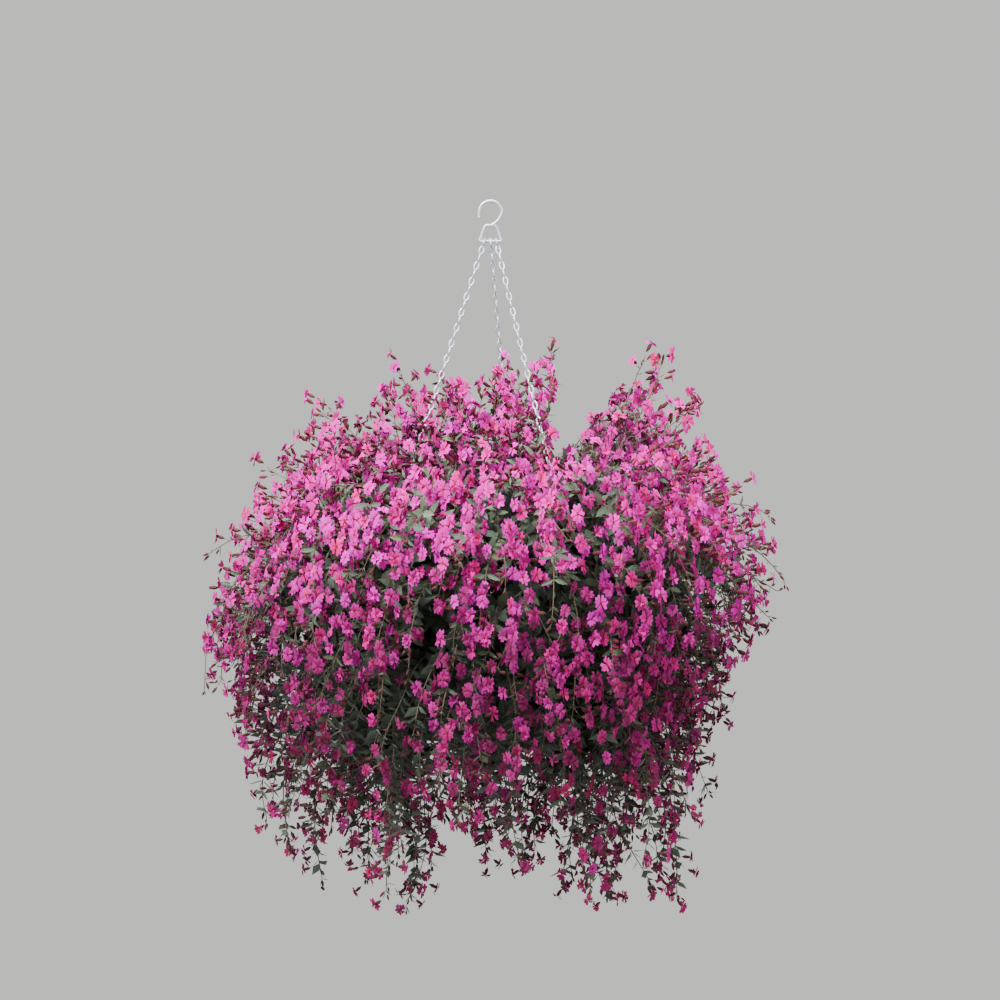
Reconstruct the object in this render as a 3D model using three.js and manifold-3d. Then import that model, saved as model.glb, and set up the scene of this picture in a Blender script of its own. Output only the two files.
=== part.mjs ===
// A nodding catchfly in flower, in a plain pot that hangs from three chains and a hook.
// Millimetres, +Z up. The origin is the point inside the hook's crown that bears on what holds it.
// The flowers' side that the picture shows faces -Y.
import * as THREE from 'three';
import { ConvexGeometry } from 'three/addons/geometries/ConvexGeometry.js';
import { mergeVertices } from 'three/addons/utils/BufferGeometryUtils.js';
import Module from 'manifold-3d';

const wasm = await Module();
wasm.setup();

// Driving dimensions of the pot, which the flowers hide: a common twelve inch hanging pot
const RIM_RADIUS = 150;
const RIM_Z = -477;
const POT_DEPTH = 165;
const BASE_RADIUS = 100;
const WALL = 3;
const BEAD = 5;
const DRAIN_RADIUS = 9;
const POT_SIDES = 16;
const SOIL_BELOW_RIM = 15;
const SEAT_GAP = 0.3;
const FLATNESS = 0.01;

// The three ears on the rim that the chains hold
const EAR = {
  thick: 3.4, wide: 15, tall: 22, chamfer: 3.75, sunk: 4, holeRadius: 4.4, holeSides: 6, holeAboveRim: 9,
};
const EAR_RADIUS = RIM_RADIUS - 3;

// The hook, its eye and the chains of galvanised wire
const HOOK_WIRE = 4;
const HOOK_INNER_RADIUS = 12;
const HOOK_TIP_DROP = 7;
const HOOK_NECK = { x: 8.4, drop: 10 };
const HOOK_SIDES = 6;
const HOOK_STEPS = 16;
const EYE = { top: -29, bottom: -45, topHalf: 5, bottomHalf: 12, bar: 3.2 };
const CHAIN_WIRE = 2.4;
const LINK_PITCH = 18;
const LINK = { endHalf: 1.4, midHalf: 2.6 };
const END_LINK = { endHalf: 3.5, midHalf: 4 };
const LINK_OVERLAP = 0.12;
const PLAY_ON_EYE = 1.1;
const PLAY_IN_EAR = 0.5;
const CHANNEL_RADIUS = 9;
const CHANNEL_SIDES = 6;

// Turns of the chains about Z, in degrees from +Y (away from the viewer) towards +X
const CHAINS = [
  { name: 'chain_back', turn: 14.5, onEye: 0 },
  { name: 'chain_right', turn: 134.5, onEye: 6 },
  { name: 'chain_left', turn: 254.5, onEye: -6 },
];

// The mass of flowers: its centre, and how far it reaches from there
const CENTRE = new THREE.Vector3(0, 0, -505);
const BASE_REACH = 325;
// Mounds and dips of its outline as seen from the front: degrees from the top towards +X
const OUTLINE = [
  { at: 35, width: 9, rise: 44 },
  { at: 22.5, width: 4.5, rise: -92 },
  { at: 71, width: 11, rise: 28 },
  { at: 112, width: 13, rise: -24 },
  { at: 147, width: 13, rise: 48 },
  { at: -54, width: 9, rise: -14 },
  { at: -110, width: 18, rise: 22 },
  { at: -145, width: 14, rise: 26 },
];
// The crown is lower on the viewer's side, where the chains come out
const FRONT_DIP = { direction: new THREE.Vector3(0, -0.4, 0.92).normalize(), width: 15, rise: -34 };

// Sprays: their leafy cores, stems and what stands on them
const SPRAYS = 35;
const SPRAY_LOWEST = -0.9;
const SPRAY_TURN = 291;
const CORE_SIDES = 6;
const CORE_INNER = 192;
const CORE_OUTER_LEAST = 215;
const CORE_SHARE = 0.75;
const CORE_CROWN_SHARE = 0.79;
const CELL_SHARE = 0.93;
const STEM_RADIUS = 3.4;
const STEM_STEP = 46;
const STEM_HOLE_DEPTH = 14;
const STEM_HOLE_PLAY = 1.6;
const STEM_RISE = 36;
const STEM_TRACK = 169;
const STEM_INTO_CORE = 222;
const STEM_OVER_RIM = 72;
const STEM_TURN_STEP = 22;
const NEAREST_STEM = 18;
const FURTHEST_STEM = 126;

// Flowers, larger than life so that fewer of them cover the mass as the real ones do
const FLOWERS = 196;
const FLOWER_LOWEST = -0.93;
const FLOWER_TURN = 50;
const HEAD_SPAN = 0.122;
const STRAY_SPAN = 0.078;
const HEAD_GAP = 1;
const PETALS = 5;
const PETAL_GAP_SHARE = 0.58;
const PETAL_DROOP = 0.1;
const THROAT_DEPTH = 0.08;
const CALYX = { width: 0.27, below: 0.4 };
const FLOWER_TILT = 26;
const ROOT_PULL = 0.34;
const ROOT_SUNK = 12;
const STRAY_SHARE = 0.1;
const HEAD_REACH = { least: 0.91, spread: 0.07 };
const STRAY_REACH = { least: 1, spread: 0.06 };
// Sprigs that stand out of the outline: degrees from the top towards +X, distance from the
// centre, and degrees towards +Y
const SPRIGS = [
  { angle: 12, distance: 352, lean: 4 },
  { angle: 30, distance: 378, lean: -5 },
  { angle: 69, distance: 358, lean: 6 },
  { angle: 81, distance: 352, lean: -6 },
  { angle: 128, distance: 330, lean: 8 },
  { angle: 146, distance: 392, lean: -4 },
  { angle: 157, distance: 368, lean: 9 },
  { angle: -30, distance: 328, lean: 7 },
  { angle: -75, distance: 338, lean: -7 },
  { angle: -103, distance: 354, lean: 3 },
  { angle: -131, distance: 356, lean: -5 },
  { angle: -146, distance: 372, lean: 8 },
  { angle: -164, distance: 350, lean: -8 },
];
const LEAVES_PER_SPRAY = 5;
const LEAF = {
  along: 50, width: 27, thick: 1.4, fold: 4, widest: 0.42, sunk: 5,
  outerShare: 0.88, outerLift: 20, innerShare: 0.5, innerLift: 34,
};

const GOLDEN_ANGLE = Math.PI * (3 - Math.sqrt(5));
const UP = new THREE.Vector3(0, 0, 1);

// A repeatable draw from 0 to 1 for one thing's own number and what is drawn for it
function draw(index, channel) {
  const value = Math.sin(index * 12.9898 + channel * 78.233 + 4.1) * 43758.5453;
  return value - Math.floor(value);
}

function degrees(angle) {
  return THREE.MathUtils.degToRad(angle);
}

function bump(offset, width) {
  return Math.exp(-0.5 * (offset / width) ** 2);
}

// Even directions over a ball, from the top down to the height given
function evenDirection(index, count, lowest, startTurn) {
  const height = 1 - (1 - lowest) * (index + 0.5) / count;
  const turn = index * GOLDEN_ANGLE + degrees(startTurn);
  const flat = Math.sqrt(1 - height * height);
  return new THREE.Vector3(flat * Math.sin(turn), flat * Math.cos(turn), height);
}

// How far the flowers reach from the centre in a direction
function reach(direction) {
  const angle = THREE.MathUtils.radToDeg(Math.atan2(direction.x, direction.z));
  const inPicture = direction.x ** 2 + direction.z ** 2;
  let distance = BASE_REACH;
  for (const { at, width, rise } of OUTLINE) {
    distance += rise * bump(angle - at, width) * inPicture;
  }
  const fromDip = THREE.MathUtils.radToDeg(direction.angleTo(FRONT_DIP.direction));
  return distance + FRONT_DIP.rise * bump(fromDip, FRONT_DIP.width);
}

function fromCentre(direction, distance) {
  return CENTRE.clone().addScaledVector(direction, distance);
}

// Two directions square to an axis and to each other
function squareTo(axis, hint = UP) {
  const across = new THREE.Vector3().crossVectors(hint, axis);
  if (across.lengthSq() < 1e-6) {
    across.set(1, 0, 0);
  }
  across.normalize();
  return [across, new THREE.Vector3().crossVectors(axis, across)];
}

// Geometries become solids to join and cut, and meshes again
function toSolid(geometry) {
  const bare = geometry.clone();
  bare.deleteAttribute('normal');
  bare.deleteAttribute('uv');
  const merged = mergeVertices(bare, 1e-4);
  const mesh = new wasm.Mesh({
    numProp: 3,
    vertProperties: new Float32Array(merged.attributes.position.array),
    triVerts: new Uint32Array(merged.index.array),
  });
  return new wasm.Manifold(mesh);
}

function facedSolid(points, faces) {
  const geometry = new THREE.BufferGeometry().setFromPoints(points);
  geometry.setIndex(faces.flat());
  return toSolid(geometry);
}

function join(solids) {
  return solids.reduce((whole, piece) => whole.add(piece));
}

// The outer skin of the largest body: scraps are dropped and sealed hollows are filled
function outerSkin(solid) {
  const { vertProperties, triVerts } = solid.getMesh();
  const skinOf = Array.from({ length: vertProperties.length / 3 }, (unused, vertex) => vertex);
  const find = (vertex) => {
    let root = vertex;
    while (skinOf[root] !== root) {
      root = skinOf[root];
    }
    skinOf[vertex] = root;
    return root;
  };
  const corner = (number) => new THREE.Vector3().fromArray(vertProperties, triVerts[number] * 3);
  for (let first = 0; first < triVerts.length; first += 3) {
    skinOf[find(triVerts[first + 1])] = find(triVerts[first]);
    skinOf[find(triVerts[first + 2])] = find(triVerts[first]);
  }
  const volumes = new Map();
  for (let first = 0; first < triVerts.length; first += 3) {
    const skin = find(triVerts[first]);
    const part = corner(first).dot(corner(first + 1).cross(corner(first + 2)));
    volumes.set(skin, (volumes.get(skin) ?? 0) + part);
  }
  const [largest] = [...volumes].reduce((best, entry) => (entry[1] > best[1] ? entry : best));
  const kept = triVerts.filter((vertex) => find(vertex) === largest);
  return new wasm.Manifold(new wasm.Mesh({ numProp: 3, vertProperties, triVerts: kept }));
}

function toMesh(name, solid, material) {
  const plain = outerSkin(solid).simplify(FLATNESS);
  const { vertProperties, triVerts } = outerSkin(plain).getMesh();
  const geometry = new THREE.BufferGeometry();
  geometry.setAttribute('position', new THREE.BufferAttribute(vertProperties, 3));
  geometry.setIndex(new THREE.BufferAttribute(triVerts, 1));
  geometry.computeVertexNormals();
  const mesh = new THREE.Mesh(geometry, material);
  mesh.name = name;
  return mesh;
}

const materials = {
  pot: new THREE.MeshStandardMaterial({ color: 0x2b2d2c, roughness: 0.55, metalness: 0 }),
  soil: new THREE.MeshStandardMaterial({ color: 0x2a1d14, roughness: 0.95, metalness: 0 }),
  steel: new THREE.MeshStandardMaterial({ color: 0xb4b8ba, roughness: 0.38, metalness: 1 }),
  petal: new THREE.MeshStandardMaterial({ color: 0xe0489c, roughness: 0.6, metalness: 0 }),
};

// The pot: a turned wall and base with a rolled rim and a drain hole
function potSolid() {
  const baseZ = RIM_Z - POT_DEPTH;
  const profile = [
    [DRAIN_RADIUS, baseZ],
    [BASE_RADIUS, baseZ],
    [RIM_RADIUS, RIM_Z - BEAD],
    [RIM_RADIUS + BEAD, RIM_Z - BEAD],
    [RIM_RADIUS + BEAD, RIM_Z],
    [RIM_RADIUS - WALL, RIM_Z],
    [BASE_RADIUS - WALL, baseZ + WALL],
    [DRAIN_RADIUS, baseZ + WALL],
    [DRAIN_RADIUS, baseZ],
  ].map(([radius, z]) => new THREE.Vector2(radius, z));
  const wall = new THREE.LatheGeometry(profile, POT_SIDES).rotateX(Math.PI / 2);
  return join([toSolid(wall), ...CHAINS.map(({ turn }) => earSolid(turn))]);
}

// Where a chain's end lies in its ear
function earHole(turn) {
  const angle = degrees(turn);
  const z = RIM_Z + EAR.holeAboveRim;
  return new THREE.Vector3(EAR_RADIUS * Math.sin(angle), EAR_RADIUS * Math.cos(angle), z);
}

// One ear: an upright tab across the rim with a hole through it
function earSolid(turn) {
  const outline = new THREE.Shape();
  const half = EAR.wide / 2;
  const top = EAR.tall - EAR.sunk - EAR.holeAboveRim;
  const bottom = -EAR.holeAboveRim - EAR.sunk;
  outline.moveTo(-half, bottom);
  outline.lineTo(half, bottom);
  outline.lineTo(half, top - EAR.chamfer);
  outline.lineTo(half - EAR.chamfer, top);
  outline.lineTo(EAR.chamfer - half, top);
  outline.lineTo(-half, top - EAR.chamfer);
  const hole = new THREE.Path();
  hole.absarc(0, 0, EAR.holeRadius, 0, Math.PI * 2, true);
  outline.holes.push(hole);
  const tab = new THREE.ExtrudeGeometry(outline, {
    depth: EAR.thick,
    bevelEnabled: false,
    curveSegments: EAR.holeSides,
  });
  tab.translate(0, 0, -EAR.thick / 2);
  tab.rotateX(Math.PI / 2);
  tab.rotateZ(Math.PI / 2 - degrees(turn));
  const place = earHole(turn);
  return toSolid(tab.translate(place.x, place.y, place.z));
}

// The hook: a bent wire whose end is closed into a flat eye
function hookSolid() {
  const bend = HOOK_INNER_RADIUS + HOOK_WIRE / 2;
  const middle = -HOOK_INNER_RADIUS;
  const points = [new THREE.Vector3(-bend, 0, middle - HOOK_TIP_DROP)];
  for (let eighth = 0; eighth <= 4; eighth += 1) {
    const angle = (eighth * Math.PI) / 4;
    points.push(new THREE.Vector3(-bend * Math.cos(angle), 0, middle + bend * Math.sin(angle)));
  }
  points.push(new THREE.Vector3(HOOK_NECK.x, 0, middle - HOOK_NECK.drop));
  points.push(new THREE.Vector3(0, 0, EYE.top - EYE.bar / 2));
  const path = new THREE.CatmullRomCurve3(points);
  const wire = new THREE.ExtrudeGeometry(roundSection(HOOK_WIRE / 2, HOOK_SIDES), {
    steps: HOOK_STEPS,
    extrudePath: path,
  });
  const eye = new THREE.ExtrudeGeometry(eyeShape(), { depth: EYE.bar, bevelEnabled: false });
  eye.translate(0, 0, -EYE.bar / 2).rotateX(Math.PI / 2);
  return toSolid(wire).add(toSolid(eye));
}

function roundSection(radius, sides) {
  const corners = [];
  for (let corner = 0; corner < sides; corner += 1) {
    const angle = (corner / sides) * Math.PI * 2;
    corners.push(new THREE.Vector2(radius * Math.cos(angle), radius * Math.sin(angle)));
  }
  return new THREE.Shape(corners);
}

// The eye is a frame, narrow at the top, with a straight bar below for the chains
function eyeShape() {
  const outer = (grow) => [
    new THREE.Vector2(-EYE.bottomHalf - grow, EYE.bottom - grow),
    new THREE.Vector2(EYE.bottomHalf + grow, EYE.bottom - grow),
    new THREE.Vector2(EYE.topHalf + grow, EYE.top + grow),
    new THREE.Vector2(-EYE.topHalf - grow, EYE.top + grow),
  ];
  const shape = new THREE.Shape(outer(EYE.bar));
  shape.holes.push(new THREE.Path(outer(0)));
  return shape;
}

// One chain link: a slim six-cornered ring of three-sided wire, lying along Y in the XY plane
function linkMesh({ endHalf, midHalf }, halfLength) {
  const half = CHAIN_WIRE / 2;
  const ring = (end, middle, y, z) => [
    new THREE.Vector3(-end, -y, z),
    new THREE.Vector3(end, -y, z),
    new THREE.Vector3(middle, 0, z),
    new THREE.Vector3(end, y, z),
    new THREE.Vector3(-end, y, z),
    new THREE.Vector3(-middle, 0, z),
  ];
  const outer = [endHalf + half * 1.4, midHalf + CHAIN_WIRE, halfLength + half];
  const points = [
    ...ring(endHalf, midHalf, halfLength - half, 0),
    ...ring(...outer, half),
    ...ring(...outer, -half),
  ];
  const faces = [];
  const corners = 6;
  for (let corner = 0; corner < corners; corner += 1) {
    const next = (corner + 1) % corners;
    for (let edge = 0; edge < 3; edge += 1) {
      const here = edge * corners;
      const there = ((edge + 1) % 3) * corners;
      faces.push([here + corner, there + next, here + next]);
      faces.push([here + corner, there + corner, there + next]);
    }
  }
  return { points, faces };
}

// Both ends of a strand: on the eye's bar, and at the top of the hole in the ear
function strandEnds({ turn, onEye }) {
  const top = new THREE.Vector3(onEye, 0, EYE.bottom + CHAIN_WIRE / 2 + PLAY_ON_EYE);
  const bottom = earHole(turn);
  const along = bottom.clone().sub(top).normalize();
  bottom.addScaledVector(along, -(EAR.holeRadius - CHAIN_WIRE / 2 - PLAY_IN_EAR));
  return { top, bottom, along };
}

// A strand: links in a row, each a quarter turn from the last, with the twist spread evenly
function strandSolid(chain) {
  const { top, bottom, along } = strandEnds(chain);
  const length = top.distanceTo(bottom);
  const count = Math.round((length - CHAIN_WIRE) / LINK_PITCH);
  const lap = CHAIN_WIRE * (1 - LINK_OVERLAP);
  const pitch = (length - lap) / count;
  const halfLength = (pitch + lap) / 2;

  const [acrossEye] = squareTo(along, new THREE.Vector3(1, 0, 0));
  const [acrossEar] = squareTo(along);
  const quarter = Math.PI / 2;
  const wanted = new THREE.Vector3().crossVectors(acrossEye, acrossEar).dot(along);
  const turnToEar = Math.atan2(wanted, acrossEye.dot(acrossEar));
  const twist = turnToEar - (count - 1) * quarter;
  const spare = twist - Math.PI * Math.round(twist / Math.PI);
  const step = quarter + spare / (count - 1);

  const links = [];
  for (let index = 0; index < count; index += 1) {
    const isEnd = index === 0 || index === count - 1;
    const across = acrossEye.clone().applyAxisAngle(along, index * step);
    const normal = new THREE.Vector3().crossVectors(across, along);
    const place = new THREE.Matrix4().makeBasis(across, along, normal);
    place.setPosition(top.clone().addScaledVector(along, lap / 2 + (index + 0.5) * pitch));
    const { points, faces } = linkMesh(isEnd ? END_LINK : LINK, halfLength);
    links.push(facedSolid(points.map((point) => point.applyMatrix4(place)), faces));
  }
  return join(links);
}

// The clear way that the flowers leave round each chain
function channelSolid(chain) {
  const { top, bottom, along } = strandEnds(chain);
  const way = new THREE.CylinderGeometry(
    CHANNEL_RADIUS, CHANNEL_RADIUS, top.distanceTo(bottom), CHANNEL_SIDES);
  way.applyQuaternion(new THREE.Quaternion().setFromUnitVectors(new THREE.Vector3(0, 1, 0), along));
  const middle = top.clone().add(bottom).multiplyScalar(0.5);
  return toSolid(way.translate(middle.x, middle.y, middle.z));
}

function distanceToChains(point) {
  const distances = CHAINS.map((chain) => {
    const { top, bottom } = strandEnds(chain);
    const nearest = new THREE.Vector3();
    new THREE.Line3(top, bottom).closestPointToPoint(point, true, nearest);
    return nearest.distanceTo(point);
  });
  return Math.min(...distances);
}

// Sprays: one direction each, spread evenly, and a place in the soil
const sprayDirections = [];
for (let index = 0; index < SPRAYS; index += 1) {
  sprayDirections.push(evenDirection(index, SPRAYS, SPRAY_LOWEST, SPRAY_TURN));
}
const cellNeighbours = [...sprayDirections, new THREE.Vector3(0, 0, -1)];

function nearestSpray(direction) {
  let best = 0;
  sprayDirections.forEach((candidate, index) => {
    if (candidate.dot(direction) > sprayDirections[best].dot(direction)) {
      best = index;
    }
  });
  return best;
}

// The angle from a spray's direction, towards one side, at which its neighbour's share begins
function cellAngle(site, side) {
  let least = Math.PI / 4;
  for (const other of cellNeighbours) {
    const towards = side.dot(other);
    if (other !== site && towards > 1e-9) {
      least = Math.min(least, Math.atan2(1 - site.dot(other), towards));
    }
  }
  return least;
}

function turned(direction, side, angle) {
  return direction.clone().multiplyScalar(Math.cos(angle)).addScaledVector(side, Math.sin(angle));
}

function coreDistance(direction, share) {
  return Math.max(share * reach(direction), CORE_OUTER_LEAST);
}

// The leafy core of a spray: a wedge of the shell, inside the spray's own share of it
function coreSolid(site, index) {
  const [across, along] = squareTo(site);
  const points = [fromCentre(site, coreDistance(site, CORE_CROWN_SHARE))];
  for (let corner = 0; corner < CORE_SIDES; corner += 1) {
    const angle = ((corner + draw(index, 7)) / CORE_SIDES) * Math.PI * 2;
    const side = across.clone().multiplyScalar(Math.cos(angle)).addScaledVector(along, Math.sin(angle));
    const edge = turned(site, side, cellAngle(site, side) * CELL_SHARE);
    points.push(fromCentre(edge, coreDistance(edge, CORE_SHARE)));
    points.push(fromCentre(edge, CORE_INNER));
  }
  return toSolid(new ConvexGeometry(points));
}

// How far from the pot's middle a stem comes out of the soil
function stemPlace(index) {
  return NEAREST_STEM + (FURTHEST_STEM - NEAREST_STEM) * Math.sqrt(index / (SPRAYS - 1));
}

// A stem lies in one upright plane: out of the soil, round the centre, and into its core
function stemSolid(site, index) {
  const outward = new THREE.Vector3(site.x, site.y, 0).normalize();
  const root = stemPlace(index);
  const soilZ = RIM_Z - SOIL_BELOW_RIM;
  const point = (radius, z) => outward.clone().multiplyScalar(radius).setZ(z);
  const points = [
    point(root, soilZ - STEM_HOLE_DEPTH),
    point(root, soilZ + STEM_RISE / 3),
    point(root, soilZ + STEM_RISE),
  ];
  const polar = Math.acos(site.z);
  const step = degrees(STEM_TURN_STEP);
  for (let angle = degrees(STEM_OVER_RIM); angle < polar - step / 2; angle += step) {
    points.push(point(STEM_TRACK * Math.sin(angle), CENTRE.z + STEM_TRACK * Math.cos(angle)));
  }
  points.push(fromCentre(site, STEM_INTO_CORE));
  const path = new THREE.CatmullRomCurve3(points);
  const section = roundSection(STEM_RADIUS, 3);
  const steps = Math.ceil(path.getLength() / STEM_STEP);
  return toSolid(new THREE.ExtrudeGeometry(section, { steps, extrudePath: path }));
}

// A flower: five petals round a sunken throat, on a calyx that narrows to its root
function flowerSolid({ head, facing, root, radius, spin }) {
  const [across, along] = squareTo(facing);
  const place = (angle, distance, height) => head.clone()
    .addScaledVector(across, distance * Math.cos(angle))
    .addScaledVector(along, distance * Math.sin(angle))
    .addScaledVector(facing, height);
  const rim = PETALS * 2;
  const points = [];
  for (let index = 0; index < rim; index += 1) {
    const isTip = index % 2 === 0;
    const angle = spin + (index / rim) * Math.PI * 2;
    const reachOut = isTip ? radius : radius * PETAL_GAP_SHARE;
    points.push(place(angle, reachOut, isTip ? -radius * PETAL_DROOP : 0));
  }
  const throat = points.push(place(0, 0, -radius * THROAT_DEPTH)) - 1;
  const neck = points.length;
  for (let corner = 0; corner < 3; corner += 1) {
    const angle = spin + ((corner + 0.5) / 3) * Math.PI * 2;
    points.push(place(angle, radius * CALYX.width, -radius * CALYX.below));
  }
  const foot = points.push(root) - 1;
  const neckOf = (index) => neck + (Math.floor((index * 3) / rim) % 3);
  const faces = [];
  for (let index = 0; index < rim; index += 1) {
    const next = (index + 1) % rim;
    faces.push([throat, index, next]);
    faces.push([next, index, neckOf(index)]);
    if (neckOf(next) !== neckOf(index)) {
      faces.push([next, neckOf(index), neckOf(next)]);
    }
  }
  for (let corner = 0; corner < 3; corner += 1) {
    faces.push([neck + ((corner + 1) % 3), neck + corner, foot]);
  }
  return facedSolid(points, faces);
}

// A leaf: a pointed blade folded along its rib, with a keel under the rib
function leafSolid({ root, tip, upward, width }) {
  const along = tip.clone().sub(root);
  const across = new THREE.Vector3().crossVectors(along, upward).setLength(width / 2);
  const normal = new THREE.Vector3().crossVectors(across, along).normalize();
  const wide = root.clone().addScaledVector(along, LEAF.widest).addScaledVector(normal, LEAF.fold);
  const points = [
    root,
    wide.clone().add(across),
    tip,
    wide.clone().sub(across),
    root.clone().addScaledVector(along, LEAF.widest).addScaledVector(normal, -LEAF.thick),
  ];
  const faces = [
    [0, 1, 2], [0, 2, 3],
    [4, 1, 0], [4, 2, 1], [4, 3, 2], [4, 0, 3],
  ];
  return facedSolid(points, faces);
}

// Every flower head: its spray, its direction and how far out it stands
const heads = [];
for (let index = 0; index < FLOWERS; index += 1) {
  const direction = evenDirection(index, FLOWERS, FLOWER_LOWEST, FLOWER_TURN);
  const isStray = draw(index, 1) < STRAY_SHARE;
  const { least, spread } = isStray ? STRAY_REACH : HEAD_REACH;
  const share = least + spread * draw(index, 2);
  const place = fromCentre(direction, reach(direction) * share);
  heads.push({ index, direction, place, isStray, spray: nearestSpray(direction) });
}
for (const { angle, distance, lean } of SPRIGS) {
  const flat = new THREE.Vector3(Math.sin(degrees(angle)), 0, Math.cos(degrees(angle)));
  const direction = turned(flat, new THREE.Vector3(0, 1, 0), degrees(lean));
  const place = fromCentre(direction, distance / Math.cos(degrees(lean)));
  heads.push({ index: heads.length, direction, place, isStray: true, spray: nearestSpray(direction) });
}

// Heads of two sprays never touch, and heads of one spray may lap over each other
function headRadius({ place, direction, spray, isStray }) {
  const widest = place.distanceTo(CENTRE) * (isStray ? STRAY_SPAN : HEAD_SPAN);
  const gaps = heads
    .filter((other) => other.spray !== spray)
    .map((other) => other.place.distanceTo(place) / (1 + (other.isStray ? STRAY_SPAN / HEAD_SPAN : 1)));
  return Math.min(widest, ...gaps.map((gap) => gap - HEAD_GAP));
}

// How one flower stands, or nothing where a chain passes
function flowerPlace(head) {
  const { index, direction, place, spray } = head;
  const radius = headRadius(head);
  if (distanceToChains(place) < radius + CHANNEL_RADIUS) {
    return null;
  }
  const rootDirection = direction.clone().lerp(sprayDirections[spray], ROOT_PULL).normalize();
  const root = fromCentre(rootDirection, coreDistance(rootDirection, CORE_SHARE) - ROOT_SUNK);
  const [across, along] = squareTo(direction);
  const tilt = Math.tan(degrees(FLOWER_TILT)) * draw(index, 4);
  const tiltTurn = draw(index, 5) * Math.PI * 2;
  const facing = direction.clone()
    .addScaledVector(across, tilt * Math.cos(tiltTurn))
    .addScaledVector(along, tilt * Math.sin(tiltTurn))
    .normalize();
  return { spray, head: place, facing, root, radius, spin: draw(index, 6) * Math.PI * 2 };
}

// Leaves spread from the middle of a spray's core towards the edges of its share, in two rings
function leafPlaces(site, index) {
  const [across, along] = squareTo(site);
  const places = [];
  for (let number = 0; number < LEAVES_PER_SPRAY; number += 1) {
    const isInner = number % 2 === 1;
    const angle = ((number + 0.5 + draw(index, 7)) / LEAVES_PER_SPRAY) * Math.PI * 2;
    const side = across.clone().multiplyScalar(Math.cos(angle)).addScaledVector(along, Math.sin(angle));
    const tipAngle = cellAngle(site, side) * (isInner ? LEAF.innerShare : LEAF.outerShare);
    const tipDirection = turned(site, side, tipAngle);
    const lift = isInner ? LEAF.innerLift : LEAF.outerLift;
    const tip = fromCentre(tipDirection, coreDistance(tipDirection, CORE_SHARE) + lift);
    const rootAngle = tipAngle - LEAF.along / tip.distanceTo(CENTRE);
    const rootDirection = turned(site, side, rootAngle);
    const root = fromCentre(rootDirection, coreDistance(rootDirection, CORE_SHARE) - LEAF.sunk);
    places.push({ root, tip, upward: site, width: LEAF.width });
  }
  return places;
}

function spraySolid(index, flowers) {
  const site = sprayDirections[index];
  const pieces = [
    stemSolid(site, index),
    coreSolid(site, index),
    ...flowers.map(flowerSolid),
    ...leafPlaces(site, index).map(leafSolid),
  ];
  return channels.reduce((rest, channel) => rest.subtract(channel), join(pieces));
}

// The soil fills the pot, with a plain blind hole for each stem
function soilSolid() {
  const bottom = RIM_Z - POT_DEPTH + WALL + SEAT_GAP;
  const top = RIM_Z - SOIL_BELOW_RIM;
  const slope = (RIM_RADIUS - BASE_RADIUS) / (POT_DEPTH - WALL);
  const innerRadius = (z) => BASE_RADIUS - WALL + (z - (bottom - SEAT_GAP)) * slope - SEAT_GAP * 2;
  const profile = [
    [0, bottom],
    [innerRadius(bottom), bottom],
    [innerRadius(top), top],
    [0, top],
  ].map(([radius, z]) => new THREE.Vector2(radius, z));
  let soil = toSolid(new THREE.LatheGeometry(profile, POT_SIDES).rotateX(Math.PI / 2));
  const depth = STEM_HOLE_DEPTH + SEAT_GAP;
  sprayDirections.forEach((site, index) => {
    const foot = new THREE.Vector3(site.x, site.y, 0).setLength(stemPlace(index)).setZ(top - depth);
    const path = new THREE.LineCurve3(foot, foot.clone().setZ(top + 1));
    const section = roundSection(STEM_RADIUS + STEM_HOLE_PLAY, 3);
    const hole = new THREE.ExtrudeGeometry(section, { steps: 1, extrudePath: path });
    soil = soil.subtract(toSolid(hole));
  });
  return soil;
}

const channels = CHAINS.map(channelSolid);
const basket = new THREE.Group();
basket.add(toMesh('pot', potSolid(), materials.pot));
basket.add(toMesh('soil', soilSolid(), materials.soil));
basket.add(toMesh('hook', hookSolid(), materials.steel));
for (const chain of CHAINS) {
  basket.add(toMesh(chain.name, strandSolid(chain), materials.steel));
}

const flowersOfSpray = sprayDirections.map(() => []);
for (const flower of heads.map(flowerPlace)) {
  if (flower) {
    flowersOfSpray[flower.spray].push(flower);
  }
}
flowersOfSpray.forEach((flowers, index) => {
  const name = `spray_${String(index + 1).padStart(2, '0')}`;
  basket.add(toMesh(name, spraySolid(index, flowers), materials.petal));
});

export default basket;
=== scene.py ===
import math

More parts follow.
